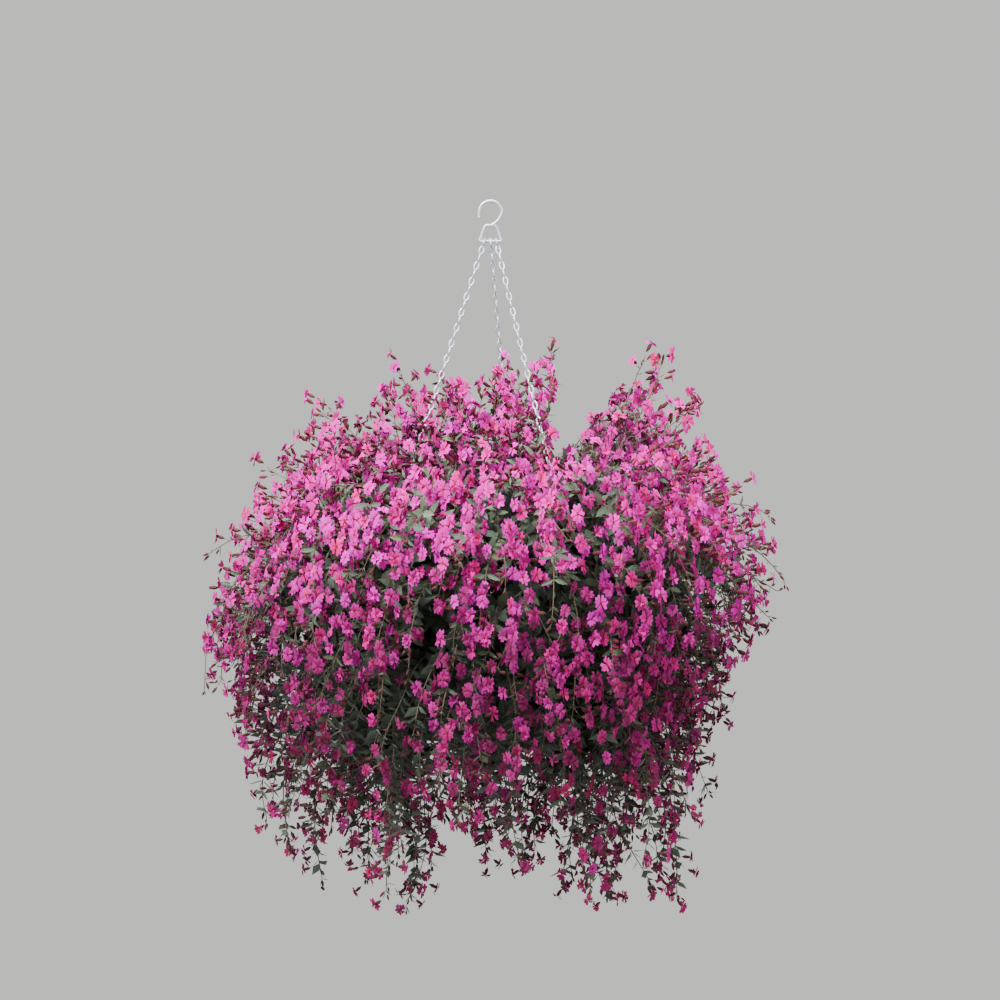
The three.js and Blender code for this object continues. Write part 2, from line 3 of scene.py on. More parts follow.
import bpy
import numpy as np
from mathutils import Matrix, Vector


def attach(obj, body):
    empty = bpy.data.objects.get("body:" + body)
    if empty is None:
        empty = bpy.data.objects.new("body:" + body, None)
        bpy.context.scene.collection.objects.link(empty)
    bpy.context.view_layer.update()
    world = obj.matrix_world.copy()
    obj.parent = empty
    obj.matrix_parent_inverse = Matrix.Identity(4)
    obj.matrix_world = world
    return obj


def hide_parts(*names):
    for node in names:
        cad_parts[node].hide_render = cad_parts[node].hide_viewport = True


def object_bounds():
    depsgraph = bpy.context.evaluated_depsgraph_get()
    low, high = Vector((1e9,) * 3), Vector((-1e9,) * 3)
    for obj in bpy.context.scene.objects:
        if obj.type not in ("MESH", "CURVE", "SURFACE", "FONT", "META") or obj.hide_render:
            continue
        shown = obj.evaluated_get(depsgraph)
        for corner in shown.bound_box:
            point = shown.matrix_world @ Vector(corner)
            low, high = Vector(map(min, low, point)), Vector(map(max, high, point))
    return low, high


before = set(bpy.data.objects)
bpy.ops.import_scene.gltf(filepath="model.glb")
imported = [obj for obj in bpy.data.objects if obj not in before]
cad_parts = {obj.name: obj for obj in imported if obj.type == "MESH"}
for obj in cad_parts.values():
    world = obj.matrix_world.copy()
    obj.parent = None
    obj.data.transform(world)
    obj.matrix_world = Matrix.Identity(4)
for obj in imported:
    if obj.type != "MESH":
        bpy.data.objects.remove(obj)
cad_low, cad_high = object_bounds()

MM = 0.001
FULL_TURN = 2 * math.pi
GOLDEN_ANGLE = math.pi * (3 - math.sqrt(5))
UP = np.array((0.0, 0.0, 1.0))
BOX_LOW, BOX_HIGH = np.array(cad_low), np.array(cad_high)

# The pot, the soil in it and the ears on its rim
RIM_RADIUS = 150 * MM
RIM_Z = -477 * MM
POT_DEPTH = 165 * MM
BASE_Z = RIM_Z - POT_DEPTH
BASE_RADIUS = 100 * MM
WALL = 3 * MM
BEAD = 5 * MM
DRAIN_RADIUS = 9 * MM
POT_TURNS = 96
SOIL_Z = RIM_Z - 15 * MM
SOIL_RINGS = 40
SOIL_CRUMBS = 0.55 * MM
EAR_RADIUS = RIM_RADIUS - 3 * MM
EAR_HOLE_ABOVE_RIM = 9 * MM
EAR_HOLE_RADIUS = 4.4 * MM
EAR_WIDE = 15 * MM
EAR_TALL = 22 * MM
EAR_SUNK = 4 * MM
EAR_THICK = 3.4 * MM
EAR_STEPS = 40
EAR_SQUARENESS = 0.55

# The hook, its eye and the chains
HOOK_WIRE = 3.65 * MM
HOOK_SIDES = 16
HOOK_INNER_RADIUS = 12 * MM
HOOK_TIP_DROP = 7 * MM
HOOK_NECK_X = 8.4 * MM
HOOK_NECK_DROP = 10 * MM
HOOK_INTO_EYE = 2.6 * MM
EYE_TOP = -29 * MM
EYE_BOTTOM = -45 * MM
EYE_TOP_HALF = 5 * MM
EYE_BOTTOM_HALF = 12 * MM
EYE_BAR = 3.2 * MM
EYE_SIDES = 14
EYE_ROUNDING = 2.4 * MM
CHAIN_WIRE = 2.4 * MM
CHAIN_SIDES = 6
LINK_PITCH = 9.8 * MM
LINK_LAP = CHAIN_WIRE * 0.88
LINK_STEPS = 3
LINK_SHOULDER = 0.72
PLAY_ON_EYE = 1.1 * MM
PLAY_IN_EAR = 0.5 * MM
LINK_HALVES = {"end": 1.3 * MM, "middle": 1.5 * MM}
END_LINK_HALVES = {"end": 3.5 * MM, "middle": 4 * MM}
# Each chain: its node, the turn of its ear from +Y towards +X, and where it hangs on the eye
CHAINS = (
    ("chain_back", 14.5, 0.0),
    ("chain_right", 134.5, 6 * MM),
    ("chain_left", 254.5, -6 * MM),
)

# The mass of flowers: its centre, its reach, and the mounds and dips of its outline. A mound or
# dip has its place in degrees from the top towards +X, its width, and its rise in mm.
CENTRE = np.array((0.0, 0.0, -505 * MM))
BASE_REACH = 325 * MM
OUTLINE = (
    (35, 9, 44), (22.5, 4.5, -92), (78, 10, 26), (112, 13, -24), (147, 13, 48),
    (-40, 8, 12), (-60, 8, -12), (-84, 9, -14), (-110, 18, 22), (-145, 14, 26),
)
DIP_DIRECTION = np.array((0.0, -0.4, 0.92)) / math.hypot(0.4, 0.92)
DIP_WIDTH = 15
DIP_RISE = -34 * MM
# Painted shade: 1 deep in the plant, falling to 0 between these shares of the reach. It grows by
# LOW_IS_SHADED from the first of these drops under the centre to the second, darkening the lower
# part.
DEPTH_SHARES = (0.68, 0.97)
LOW_DROPS = (-180 * MM, 100 * MM)
LOW_IS_SHADED = 0.76

# The sprays, each with its stem out of the soil
SPRAYS = 35
SPRAY_LOWEST = -0.9
SPRAY_TURN = 291
NEAREST_STEM = 18 * MM
FURTHEST_STEM = 126 * MM
STEM_RADIUS = 3.2 * MM
STEM_TRACK = 169 * MM
STEM_TRACK_START = math.radians(72)
STEM_TRACK_STEP = math.radians(22)
STEM_END = 218 * MM
STEM_BURIED = 12 * MM
STEM_RISE = 36 * MM
STEM_LEAVES = (0.7, 0.76, 0.82, 0.88, 0.94, 0.98)
BRANCH_LEAVES = (0.2, 0.4, 0.6, 0.8, 0.98)
BRANCH_STEPS = 7
LEVELS = (("upper", 0, 12), ("middle", 12, 23), ("lower", 23, 35))

# The flowering shoots that the sprays branch into
SHOOTS = 760
SHOOT_CROWDING = 0.97
SHOOT_LOWEST = -0.95
SHOOT_TURN = 50
SHOOT_LENGTH = 185 * MM
SHOOT_LENGTHS = (0.8, 1.15)
HANGING_LONGER = 0.3
SHOOT_SCATTER = 0.2
SHOOT_STEPS = 12
SHOOT_ROOT_RADIUS = 1.25 * MM
SHOOT_TIP_RADIUS = 0.5 * MM
SHOOT_WAVE = 3.5 * MM
# Shoots end at these shares of the reach, and the strays among them further out
SHOOT_ENDS = (0.91, 0.99)
STRAY_ENDS = (0.98, 1.04)
STRAY_SHARE = 0.16
# Shoots start to arch over at the first angle from straight up, and hang at the second. Those
# towards the viewer hang sooner, or they would be seen end on, with gaps between them.
ARCH_ANGLES = (38, 120)
SOONER_ANGLES = (10, 26)
# Leaves stand in pairs at about these shares of a shoot. Those under INNER_SHARE are plainer.
OFF_NODE = 0.02
SHOOT_LEAVES = (0.06, 0.15, 0.24, 0.33, 0.42, 0.52, 0.63, 0.76)
INNER_SHARE = 0.4
# Shoots whose direction points this far down bear more leaves, at these shares of their length
HANGS_BELOW = -0.35
HANGING_LEAVES = (0.44, 0.57, 0.69, 0.82, 0.93)

# Flowers stand this far apart on a shoot, from this share of the reach outwards
NODE_PITCH = 9.1 * MM
INNERMOST_FLOWER = 0.81
CROWN_DEEPER = 0.1
# Flowers get fewer from the crown down to the skirt: (height in mm, share of them that opens)
BLOOM = (
    (-840, 0.95), (-790, 0.54), (-740, 0.5), (-690, 0.7), (-650, 1.0), (-600, 1.0), (-560, 0.92),
    (-490, 0.75), (-430, 0.71), (-370, 0.83), (-300, 0.92), (-240, 1.0),
)
LOW_FLOWERS_SMALLER = 0.1
# A hollow left of the middle where fewer flowers open and the leaves show
HOLLOW_DIRECTION = np.array((-0.43, -0.82, -0.36)) / math.hypot(0.43, 0.82, 0.36)
HOLLOW_WIDTH = 11
HOLLOW_THINNING = 0.6
# Flowers stand looser towards both sides of the photo
SIDES_THINNING = 0.36
# Flowers nod from straight up towards level, and they are taller than wide, as the photo has them
NOD = 0.55
FLOWER_STRETCH = np.array((0.82, 0.82, 1.12))
# Painted shade: each flower gets up to this share more, at random, for the shade of flowers round it.
SHADED_BY_OTHERS = 0.56

# The lower sides are drawn in: degrees from the top towards +X, and how wide and how far
DRAWN_IN = ((113, 13, 0.07), (-121, 11, 0.09))
# Shoots end at uneven heights on the crown and on the skirt
CROWN_UNEVEN = 0.14
SKIRT_UNEVEN = 0.17
# The crown is cleft between its two mounds: the cleft's foot, its lean to -X, and how fast it
# widens to +X
CLEFT_FOOT = (84 * MM, -312 * MM)
CLEFT_LEAN = 5 * MM
CLEFT_SLOPE = 0.62
# Nothing stands in front of a chain above the height where it goes in among the flowers
CHAIN_SEEN_TO = {
    "chain_back": -185 * MM,
    "chain_right": -258 * MM,
    "chain_left": -237 * MM,
}
CHAIN_SEEN_GAP = 6 * MM
CHAIN_CLEAR = 7 * MM
HEAD_CLEAR = 14 * MM
POT_CLEAR = 14 * MM

# Sprigs that stand out of the outline: degrees from the top towards +X, distance in mm, and
# degrees to +Y
SPRIGS = (
    (-44, 306, -6), (-25, 294, 6), (-20, 296, -4), (-12, 296, 5), (1, 304, 4), (10.5, 286, 4),
    (13.5, 330, 4), (26, 300, -4), (31, 360, -5), (35, 334, 5), (41, 340, -7), (69, 358, 6),
    (81, 352, -6), (128, 330, 8), (146, 392, -4), (157, 368, 9), (-75, 338, -7), (-103, 354, 3),
    (-131, 356, -5), (-146, 372, 8), (-164, 350, -8),
)

# Real sizes of what the shoots bear
PETAL_LENGTH = 9.1 * MM
CALYX_LENGTH = 12.5 * MM
BUD_LENGTH = 10.5 * MM
LEAF_LENGTH = 28 * MM
BRACT_LENGTH = 11 * MM
PEDICEL_LENGTH = 9 * MM
PEDICEL_RADIUS = {"flower": 0.6 * MM, "bud": 0.55 * MM}
# How far each single one differs, as shares of its size
FLOWER_SIZES = (0.86, 1.14)
FLOWER_PEDICELS = (0.5, 1.8)
BUD_SIZES = (0.7, 1.1)
BUD_PEDICELS = (0.2, 0.8)
LEAF_SIZES = (0.75, 1.15)
BRACT_SIZES = (0.7, 1.4)
FADED_SHARE = 0.1

dice = np.random.default_rng(4992)


# Directions, distances and curves, for many points at once

def unit(vectors):
    return vectors / np.maximum(np.linalg.norm(vectors, axis=-1, keepdims=True), 1e-12)


def bump(offset, width):
    return np.exp(-0.5 * (offset / width) ** 2)


def smooth_step(value, low, high):
    share = np.clip((value - low) / (high - low), 0, 1)
    return share * share * (3 - 2 * share)


def even_directions(count, lowest, start_turn, crowding=1.0):
    """Directions spread evenly over a ball, from its top down to the lowest height."""
    index = np.arange(count)
    height = 1 - (1 - lowest) * ((index + 0.5) / count) ** crowding
    turn = index * GOLDEN_ANGLE + math.radians(start_turn)
    flat = np.sqrt(1 - height ** 2)
    return np.stack((flat * np.sin(turn), flat * np.cos(turn), height), axis=1)


def reach(directions):
    """How far the mass of flowers reaches from its centre in each direction."""
    angle = np.degrees(np.arctan2(directions[:, 0], directions[:, 2]))
    in_picture = directions[:, 0] ** 2 + directions[:, 2] ** 2
    distance = np.full(len(directions), BASE_REACH)
    for at, width, rise in OUTLINE:
        distance += rise * MM * bump(angle - at, width) * in_picture
    from_dip = np.degrees(np.arccos(np.clip(directions @ DIP_DIRECTION, -1, 1)))
    return distance + DIP_RISE * bump(from_dip, DIP_WIDTH)


def squares_to(axes, hints):
    """Two directions square to each axis and to each other, the first also to the hint."""
    across = unit(np.cross(hints, axes))
    return across, np.cross(axes, across)


def spun_frames(axes, spins):
    """Frames whose third column is the axis, turned about it by the spin."""
    hints = np.where(np.abs(axes[:, 2:]) > 0.9, (1.0, 0.0, 0.0), UP)
    across, along = squares_to(axes, hints)
    cos, sin = np.cos(spins)[:, None], np.sin(spins)[:, None]
    return np.stack((across * cos + along * sin, along * cos - across * sin, axes), axis=2)


def along_frames(directions, normals):
    """Frames whose second column is the direction and whose third is as near the normal as can be."""
    across = unit(np.cross(directions, normals))
    return np.stack((across, directions, np.cross(across, directions)), axis=2)


def bezier(first, control, last, steps):
    share = np.linspace(0, 1, steps)[None, :, None]
    first, control, last = first[:, None], control[:, None], last[:, None]
    return first * (1 - share) ** 2 + control * 2 * share * (1 - share) + last * share ** 2


def smooth_steps(padded, steps):
    """Even steps on a smooth line from the second of some points to the last but one."""
    line = []
    for before, here, there, after in zip(padded, padded[1:], padded[2:], padded[3:]):
        for step in range(steps):
            s = step / steps
            line.append(0.5 * (
                2 * here + (there - before) * s
                + (2 * before - 5 * here + 4 * there - after) * s ** 2
                + (3 * here - before - 3 * there + after) * s ** 3
            ))
    return line


def catmull_rom(points, steps):
    """A smooth line through all of the points."""
    points = np.asarray(points, float)
    padded = np.vstack((2 * points[0] - points[1], points, 2 * points[-1] - points[-2]))
    return np.array(smooth_steps(padded, steps) + [points[-1]])


def sample_paths(paths, share):
    """Points and directions on many paths, each at its own share of the way."""
    count, steps = paths.shape[:2]
    place = np.clip(share, 0, 1) * (steps - 1)
    low = np.minimum(place.astype(int), steps - 2)
    rows = np.arange(count)
    start, end = paths[rows, low], paths[rows, low + 1]
    return start + (end - start) * (place - low)[:, None], unit(end - start)


# Meshes made of many copies of small closed forms

class Form:
    """A small closed form: its points, its triangles and a texture place for each corner."""

    def __init__(self, points, triangles, corner_places):
        self.points = np.asarray(points, float)
        self.triangles = np.asarray(triangles, int)
        self.places = np.asarray(corner_places, float).reshape(-1, 2)


def joined(forms):
    points, triangles, places, start = [], [], [], 0
    for form in forms:
        points.append(form.points)
        triangles.append(form.triangles + start)
        places.append(form.places)
        start += len(form.points)
    return Form(np.vstack(points), np.vstack(triangles), np.vstack(places))


class Crowd:
    """What becomes one mesh: copies of forms, each with its own tint and its painted shade, which
    comes from how deep it sits in the plant.
    """

    def __init__(self):
        self.points, self.triangles, self.places = [], [], []
        self.tints, self.painted_shades = [], []
        self.count = 0

    def take(self, form, points, tints, painted_shades):
        """Keep copies of a form, with the points that each copy has."""
        count, size = points.shape[:2]
        starts = self.count + size * np.arange(count)
        self.points.append(points.reshape(-1, 3))
        self.triangles.append((form.triangles[None] + starts[:, None, None]).reshape(-1, 3))
        self.places.append(np.tile(form.places, (count, 1)))
        self.tints.append(np.repeat(tints, size))
        self.painted_shades.append(np.repeat(painted_shades, size))
        self.count += size * count

    def add(self, form, origins, frames, scales, tints, painted_shades):
        if len(origins):
            moved = np.einsum("nij,pj->npi", frames, form.points) * scales[:, None, None]
            self.take(form, moved + origins[:, None], tints, painted_shades)

    def add_tubes(self, paths, radii, sides, tints, painted_shades):
        """Tapered tubes along many paths of the same number of points, closed at both ends."""
        count, steps = paths.shape[:2]
        if not count:
            return
        tangents = unit(np.gradient(paths, axis=1))
        hints = unit(np.cross(tangents[:, 0], tangents[:, -1] + 0.03) + 1e-4)[:, None]
        across = unit(np.cross(tangents, np.broadcast_to(hints, tangents.shape)))
        along = np.cross(tangents, across)
        angles = (np.arange(sides) / sides * FULL_TURN)[:, None]
        rings = (
            across[:, :, None] * np.cos(angles) + along[:, :, None] * np.sin(angles)
        ) * radii[:, :, None, None] + paths[:, :, None]
        ends = np.stack((
            paths[:, 0] - tangents[:, 0] * radii[:, :1] * 0.5,
            paths[:, -1] + tangents[:, -1] * radii[:, -1:] * 0.5,
        ), axis=1)
        points = np.concatenate((rings.reshape(count, -1, 3), ends), axis=1)
        self.take(Form(points[0], *tube_faces(steps, sides)), points, tints, painted_shades)

    def add_stalks(self, starts, ends, radius, tints, painted_shades):
        """Short thin stalks, widest at the middle."""
        along = ends - starts
        lengths = np.linalg.norm(along, axis=1)
        frames = spun_frames(unit(along), np.zeros(len(starts)))
        frames[:, :, :2] *= (radius / lengths)[:, None, None]
        self.add(STALK, starts, frames, lengths, tints, painted_shades)

    def build(self, name, material, slot, nodes, smooth):
        points, triangles = np.vstack(self.points), np.vstack(self.triangles)
        mesh = bpy.data.meshes.new(name)
        mesh.from_pydata(points, [], triangles.tolist())
        layer = mesh.uv_layers.new(name="form")
        layer.data.foreach_set("uv", np.vstack(self.places).astype(np.float32).ravel())
        # Each copy's tint and its painted shade go onto the mesh as attributes.
        for label, values in (("tint", self.tints), ("painted_shade", self.painted_shades)):
            attribute = mesh.attributes.new(label, "FLOAT", "POINT")
            attribute.data.foreach_set("value", np.concatenate(values).astype(np.float32))
        if smooth:
            mesh.shade_smooth()
        mesh.materials.append(material)
        placed(name, mesh, nodes)


def in_scene(name, data):
    thing = bpy.data.objects.new(name, data)
    bpy.context.scene.collection.objects.link(thing)
    return thing


def placed(name, mesh, nodes):
    piece = in_scene(name, mesh)
    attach(piece, "root")
    if nodes:
        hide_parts(*nodes)


def tube_faces(steps, sides):
    """Triangles and corner places of a closed tube: across runs round it, along from end to end."""
    triangles, places = [], []
    first_end, last_end = steps * sides, steps * sides + 1
    for side in range(sides):
        after = (side + 1) % sides
        left, right = side / sides, (side + 1) / sides
        for step in range(steps - 1):
            low, high = step / (steps - 1), (step + 1) / (steps - 1)
            a, b = step * sides + side, step * sides + after
            c, d = a + sides, b + sides
            triangles += [(a, b, d), (a, d, c)]
            places += [(left, low), (right, low), (right, high)]
            places += [(left, low), (right, high), (left, high)]
        triangles.append((first_end, after, side))
        places += [(left, 0), (right, 0), (left, 0)]
        last = (steps - 1) * sides
        triangles.append((last_end, last + side, last + after))
        places += [(left, 1), (left, 1), (right, 1)]
    return triangles, places


def turned_form(profile, sides):
    """A form of revolution about Z from (radius, height) pairs, from its top down the axis."""
    points = []
    for radius, height in profile[1:-1]:
        for side in range(sides):
            angle = side / sides * FULL_TURN
            points.append((radius * math.cos(angle), radius * math.sin(angle), height))
    points += [(0, 0, profile[0][1]), (0, 0, profile[-1][1])]
    triangles, places = tube_faces(len(profile) - 2, sides)
    places = np.array(places).reshape(-1, 3, 2)
    return Form(points, np.array(triangles)[:, ::-1], places[:, ::-1])


# The small forms: petals, flowers, calyces, buds, leaves and bracts, each of unit length

def petal_form(pitch, roll, spread, curl):
    """A deeply notched petal along +Y, thin at its edges, with its claw at the origin."""
    half = [(0.47 * spread, 0.7, curl * 0.6), (0.3 * spread, 1.0, curl * 1.5)]
    outline = [(0.0, 0.06, 0.0)] + half + [(0.0, 0.78, 0.03)]
    outline += [(-x, y, z) for x, y, z in reversed(half)]
    middle_height, thick = 0.05, 0.02
    above, below = len(outline), len(outline) + 1
    points = outline + [(0, 0.5, middle_height + thick), (0, 0.5, middle_height - thick)]
    triangles = []
    for corner in range(len(outline)):
        after = (corner + 1) % len(outline)
        triangles += [(corner, after, above), (after, corner, below)]
    points = np.array(points)
    fan = 0.5 + 0.5 * points[:, 0] / (0.15 + 0.45 * points[:, 1])
    places = np.stack((fan, points[:, 1]), axis=1)[np.array(triangles).ravel()]
    cos, sin = math.cos(roll), math.sin(roll)
    points = points @ np.array(((cos, 0, sin), (0, 1, 0), (-sin, 0, cos))).T
    cos, sin = math.cos(pitch), math.sin(pitch)
    points = points @ np.array(((1, 0, 0), (0, cos, -sin), (0, sin, cos))).T
    return Form(points, triangles, places)


def about_axis(form, angle, scale, lift=0.0):
    cos, sin = math.cos(angle), math.sin(angle)
    turn = np.array(((cos, -sin, 0), (sin, cos, 0), (0, 0, 1)))
    return Form(form.points @ turn.T * scale + (0, 0, lift), form.triangles, form.places)


def corolla(open_pitch, ragged, inner):
    """Five petals round the throat, and a smaller inner ring of them in a half double flower."""
    petals = []
    for number in range(5):
        form = petal_form(
            pitch=math.radians(open_pitch + dice.uniform(-20, 20) * ragged),
            roll=math.radians(dice.uniform(-24, 24) * ragged),
            spread=dice.uniform(0.92, 1.12),
            curl=dice.uniform(-0.12, 0.05),
        )
        angle = (number + dice.uniform(-0.09, 0.09) * ragged) / 5 * FULL_TURN
        petals.append(about_axis(form, angle, dice.uniform(0.86, 1.08)))
    for number in range(inner):
        form = petal_form(
            pitch=math.radians(dice.uniform(26, 48)),
            roll=math.radians(dice.uniform(-25, 25)),
            spread=dice.uniform(0.85, 1.0),
            curl=dice.uniform(0.0, 0.1),
        )
        angle = (number + 0.5 + dice.uniform(-0.15, 0.15)) / inner * FULL_TURN
        petals.append(about_axis(form, angle, dice.uniform(0.62, 0.76), 0.03))
    return joined(petals)


def leaf_form(width, fold, droop):
    """A pointed oval blade along +Y, folded along its rib and drooping to its tip."""
    outline, rib = [(0, 0, 0)], []
    for along, share in ((0.3, 0.88), (0.68, 0.84)):
        low = -droop * along ** 2
        outline.append((width / 2 * share, along, fold * share + low))
        rib.append((0, along, low))
    outline.append((0, 1, -droop))
    outline += [(-x, y, z) for x, y, z in outline[2:0:-1]]
    thick = 0.012
    points = outline + [(x, y, z + thick) for x, y, z in rib]
    points += [(x, y, z - thick) for x, y, z in rib]
    near, far = len(outline), len(outline) + 1
    upper = [
        (0, 1, near), (1, 2, far), (1, far, near), (2, 3, far),
        (3, 4, far), (4, 5, near), (4, near, far), (5, 0, near),
    ]
    lower = [
        tuple(corner + 2 if corner >= near else corner for corner in reversed(face))
        for face in upper
    ]
    triangles = upper + lower
    points = np.array(points, float)
    places = np.stack((0.5 + points[:, 0] / width, points[:, 1]), axis=1)
    return Form(points, triangles, places[np.array(triangles).ravel()])


def bract_form(width, droop):
    """A narrow pointed bract of four outline points, thicker along its rib."""
    points = np.array((
        (0, 0, 0), (width / 2, 0.4, 0), (0, 1, -droop), (-width / 2, 0.4, 0),
        (0, 0.4, 0.02), (0, 0.4, -0.05),
    ))
    triangles = [(0, 1, 4), (1, 2, 4), (2, 3, 4), (3, 0, 4)]
    triangles += [(1, 0, 5), (2, 1, 5), (3, 2, 5), (0, 3, 5)]
    places = np.stack((0.5 + points[:, 0] / width, points[:, 1]), axis=1)
    return Form(points, triangles, places[np.array(triangles).ravel()])


COROLLAS = [
    corolla(4, 1.0, 0),
    corolla(-6, 1.0, 0),
    corolla(16, 1.2, 0),
    corolla(30, 1.2, 0),
    corolla(0, 1.4, 0),
    corolla(2, 1.2, 4),
    corolla(10, 1.3, 5),
]
COROLLA_SHARES = (0.2, 0.18, 0.15, 0.1, 0.15, 0.12, 0.1)
CALYX = turned_form(((0, 0.0), (0.15, -0.06), (0.2, -0.58), (0, -1.0)), 5)
BUD = turned_form(((0, 0.0), (0.12, -0.28), (0.16, -0.62), (0, -1.0)), 5)
LEAVES = [leaf_form(0.36, 0.05, 0.12), leaf_form(0.42, 0.03, 0.22), leaf_form(0.32, 0.07, 0.02)]
STALK = turned_form(((0, 1.0), (1, 0.5), (0, 0.0)), 3)
BRACT = bract_form(0.3, 0.15)
INNER_LEAF = bract_form(0.5, 0.1)


# Where the chains run, and what the plant keeps clear of

def turned_out(turn):
    """The level direction at some degrees from +Y towards +X."""
    return np.array((math.sin(math.radians(turn)), math.cos(math.radians(turn)), 0.0))


def ear_hole(turn):
    """The middle of the hole that a chain's end link holds."""
    return turned_out(turn) * EAR_RADIUS + UP * (RIM_Z + EAR_HOLE_ABOVE_RIM)


def strand_ends(turn, on_eye):
    """Where a chain's wire ends on the eye and in the ear, and the direction between them."""
    top = np.array((on_eye, 0.0, EYE_BOTTOM + CHAIN_WIRE / 2 + PLAY_ON_EYE))
    bottom = ear_hole(turn)
    along = (bottom - top) / np.linalg.norm(bottom - top)
    return top, bottom - along * (EAR_HOLE_RADIUS - CHAIN_WIRE / 2 - PLAY_IN_EAR), along


def distance_to_chains(points):
    nearest = np.full(points.shape[:-1], 1.0)
    for _, turn, on_eye in CHAINS:
        top, bottom, along = strand_ends(turn, on_eye)
        share = np.clip((points - top) @ along, 0, np.linalg.norm(bottom - top))
        gap = np.linalg.norm(points - top - share[..., None] * along, axis=-1)
        nearest = np.minimum(nearest, gap)
    return nearest


def hides_chain(points):
    """Whether points stand on the photo's side of a chain where it shows against the flowers."""
    hidden = np.zeros(points.shape[:-1], bool)
    for name, turn, on_eye in CHAINS:
        top, _, along = strand_ends(turn, on_eye)
        on_chain = top + along * ((points[..., 2:] - top[2]) / along[2])
        beside = np.abs(points[..., 0] - on_chain[..., 0]) < CHAIN_SEEN_GAP
        above = points[..., 2] > CHAIN_SEEN_TO[name]
        hidden |= beside & above & (points[..., 1] < on_chain[..., 1])
    return hidden


def in_cleft(points):
    """Whether points are in the cleft between the crown's two mounds."""
    x, z = points[..., 0], points[..., 2]
    right = CLEFT_FOOT[0] + CLEFT_SLOPE * (z - CLEFT_FOOT[1])
    return (z > CLEFT_FOOT[1]) & (x > CLEFT_FOOT[0] - CLEFT_LEAN) & (x < right)


def in_box(points, margin=0.0):
    """Whether points are inside the box of the solids, by a margin."""
    return ((points > BOX_LOW + margin) & (points < BOX_HIGH - margin)).all(axis=-1)


def has_room(points, clear, margin=0.0):
    """Whether a flower or bud can stand here: in the box, and clear of chains and cleft."""
    free = in_box(points, margin) & (distance_to_chains(points) > clear)
    return free & ~in_cleft(points) & ~hides_chain(points)


def in_pot(points):
    """Whether points are in the pot's wall or in what it holds."""
    above_base = points[..., 2] - BASE_Z
    wall = BASE_RADIUS + (RIM_RADIUS - BASE_RADIUS) * above_base / POT_DEPTH + BEAD
    beside = (above_base > 0) & (points[..., 2] < RIM_Z)
    return beside & (np.linalg.norm(points[..., :2], axis=-1) < wall)


def clear_of_pot(points):
    """Points beside the pot are pushed out past its wall."""
    flat = np.linalg.norm(points[..., :2], axis=-1)
    beside = points[..., 2] < RIM_Z + 2 * POT_CLEAR
    beside &= points[..., 2] > BASE_Z - POT_CLEAR
    least = RIM_RADIUS + BEAD + POT_CLEAR
    grow = np.where(beside & (flat < least), least / np.maximum(flat, 1e-6), 1.0)
    return np.concatenate((points[..., :2] * grow[..., None], points[..., 2:]), axis=-1)


# The plant: sprays branch into shoots, and shoots bear flowers, buds, leaves and bracts

spray_directions = even_directions(SPRAYS, SPRAY_LOWEST, SPRAY_TURN)


def stem_points(index):
    """A spray's stem, as the solids have it: out of the soil, round the centre, into the spray."""
    site = spray_directions[index]
    outward = np.array((site[0], site[1], 0)) / math.hypot(site[0], site[1])
    root = NEAREST_STEM + (FURTHEST_STEM - NEAREST_STEM) * math.sqrt(index / (SPRAYS - 1))
    points = [
        outward * root + UP * (SOIL_Z - STEM_BURIED),
        outward * root + UP * (SOIL_Z + STEM_RISE / 3),
        outward * root + UP * (SOIL_Z + STEM_RISE),
    ]
    angle = STEM_TRACK_START
    while angle < math.acos(site[2]) - STEM_TRACK_STEP / 2:
        radial = outward * math.sin(angle) + UP * math.cos(angle)
        points.append(CENTRE + radial * STEM_TRACK)
        angle += STEM_TRACK_STEP
    points.append(CENTRE + site * STEM_END)
    return points


def shoot_tips():
    """Directions and distances of all the shoots' tips: even ones, strays and sprigs."""
    directions = even_directions(SHOOTS, SHOOT_LOWEST, SHOOT_TURN, SHOOT_CROWDING)
    directions = unit(directions + dice.normal(0, 0.035, directions.shape))
    stray = dice.random(SHOOTS) < STRAY_SHARE
    share = np.where(stray, dice.uniform(*STRAY_ENDS, SHOOTS), dice.uniform(*SHOOT_ENDS, SHOOTS))
    crown = smooth_step(directions[:, 2], 0.55, 0.85) * ~stray
    share -= CROWN_UNEVEN * crown * dice.uniform(0.3, 1.6, SHOOTS)
    skirt = smooth_step(-directions[:, 2], 0.4, 0.75) * ~stray
    share -= SKIRT_UNEVEN * skirt * dice.uniform(0.0, 1.5, SHOOTS)
    angles = np.degrees(np.arctan2(directions[:, 0], directions[:, 2]))
    for at, width, drawn in DRAWN_IN:
        share = share - drawn * bump(angles - at, width) * np.abs(directions[:, 0])
    distances = reach(directions) * share
    sprigs = []
    for angle, distance, lean in SPRIGS:
        flat = np.array((math.sin(math.radians(angle)), 0, math.cos(math.radians(angle))))
        lean = math.radians(lean)
        direction = flat * math.cos(lean) + np.array((0, math.sin(lean), 0))
        sprigs.append((direction, distance * MM / math.cos(lean)))
    directions = np.vstack((directions, [direction for direction, _ in sprigs]))
    return directions, np.append(distances, [distance for _, distance in sprigs])


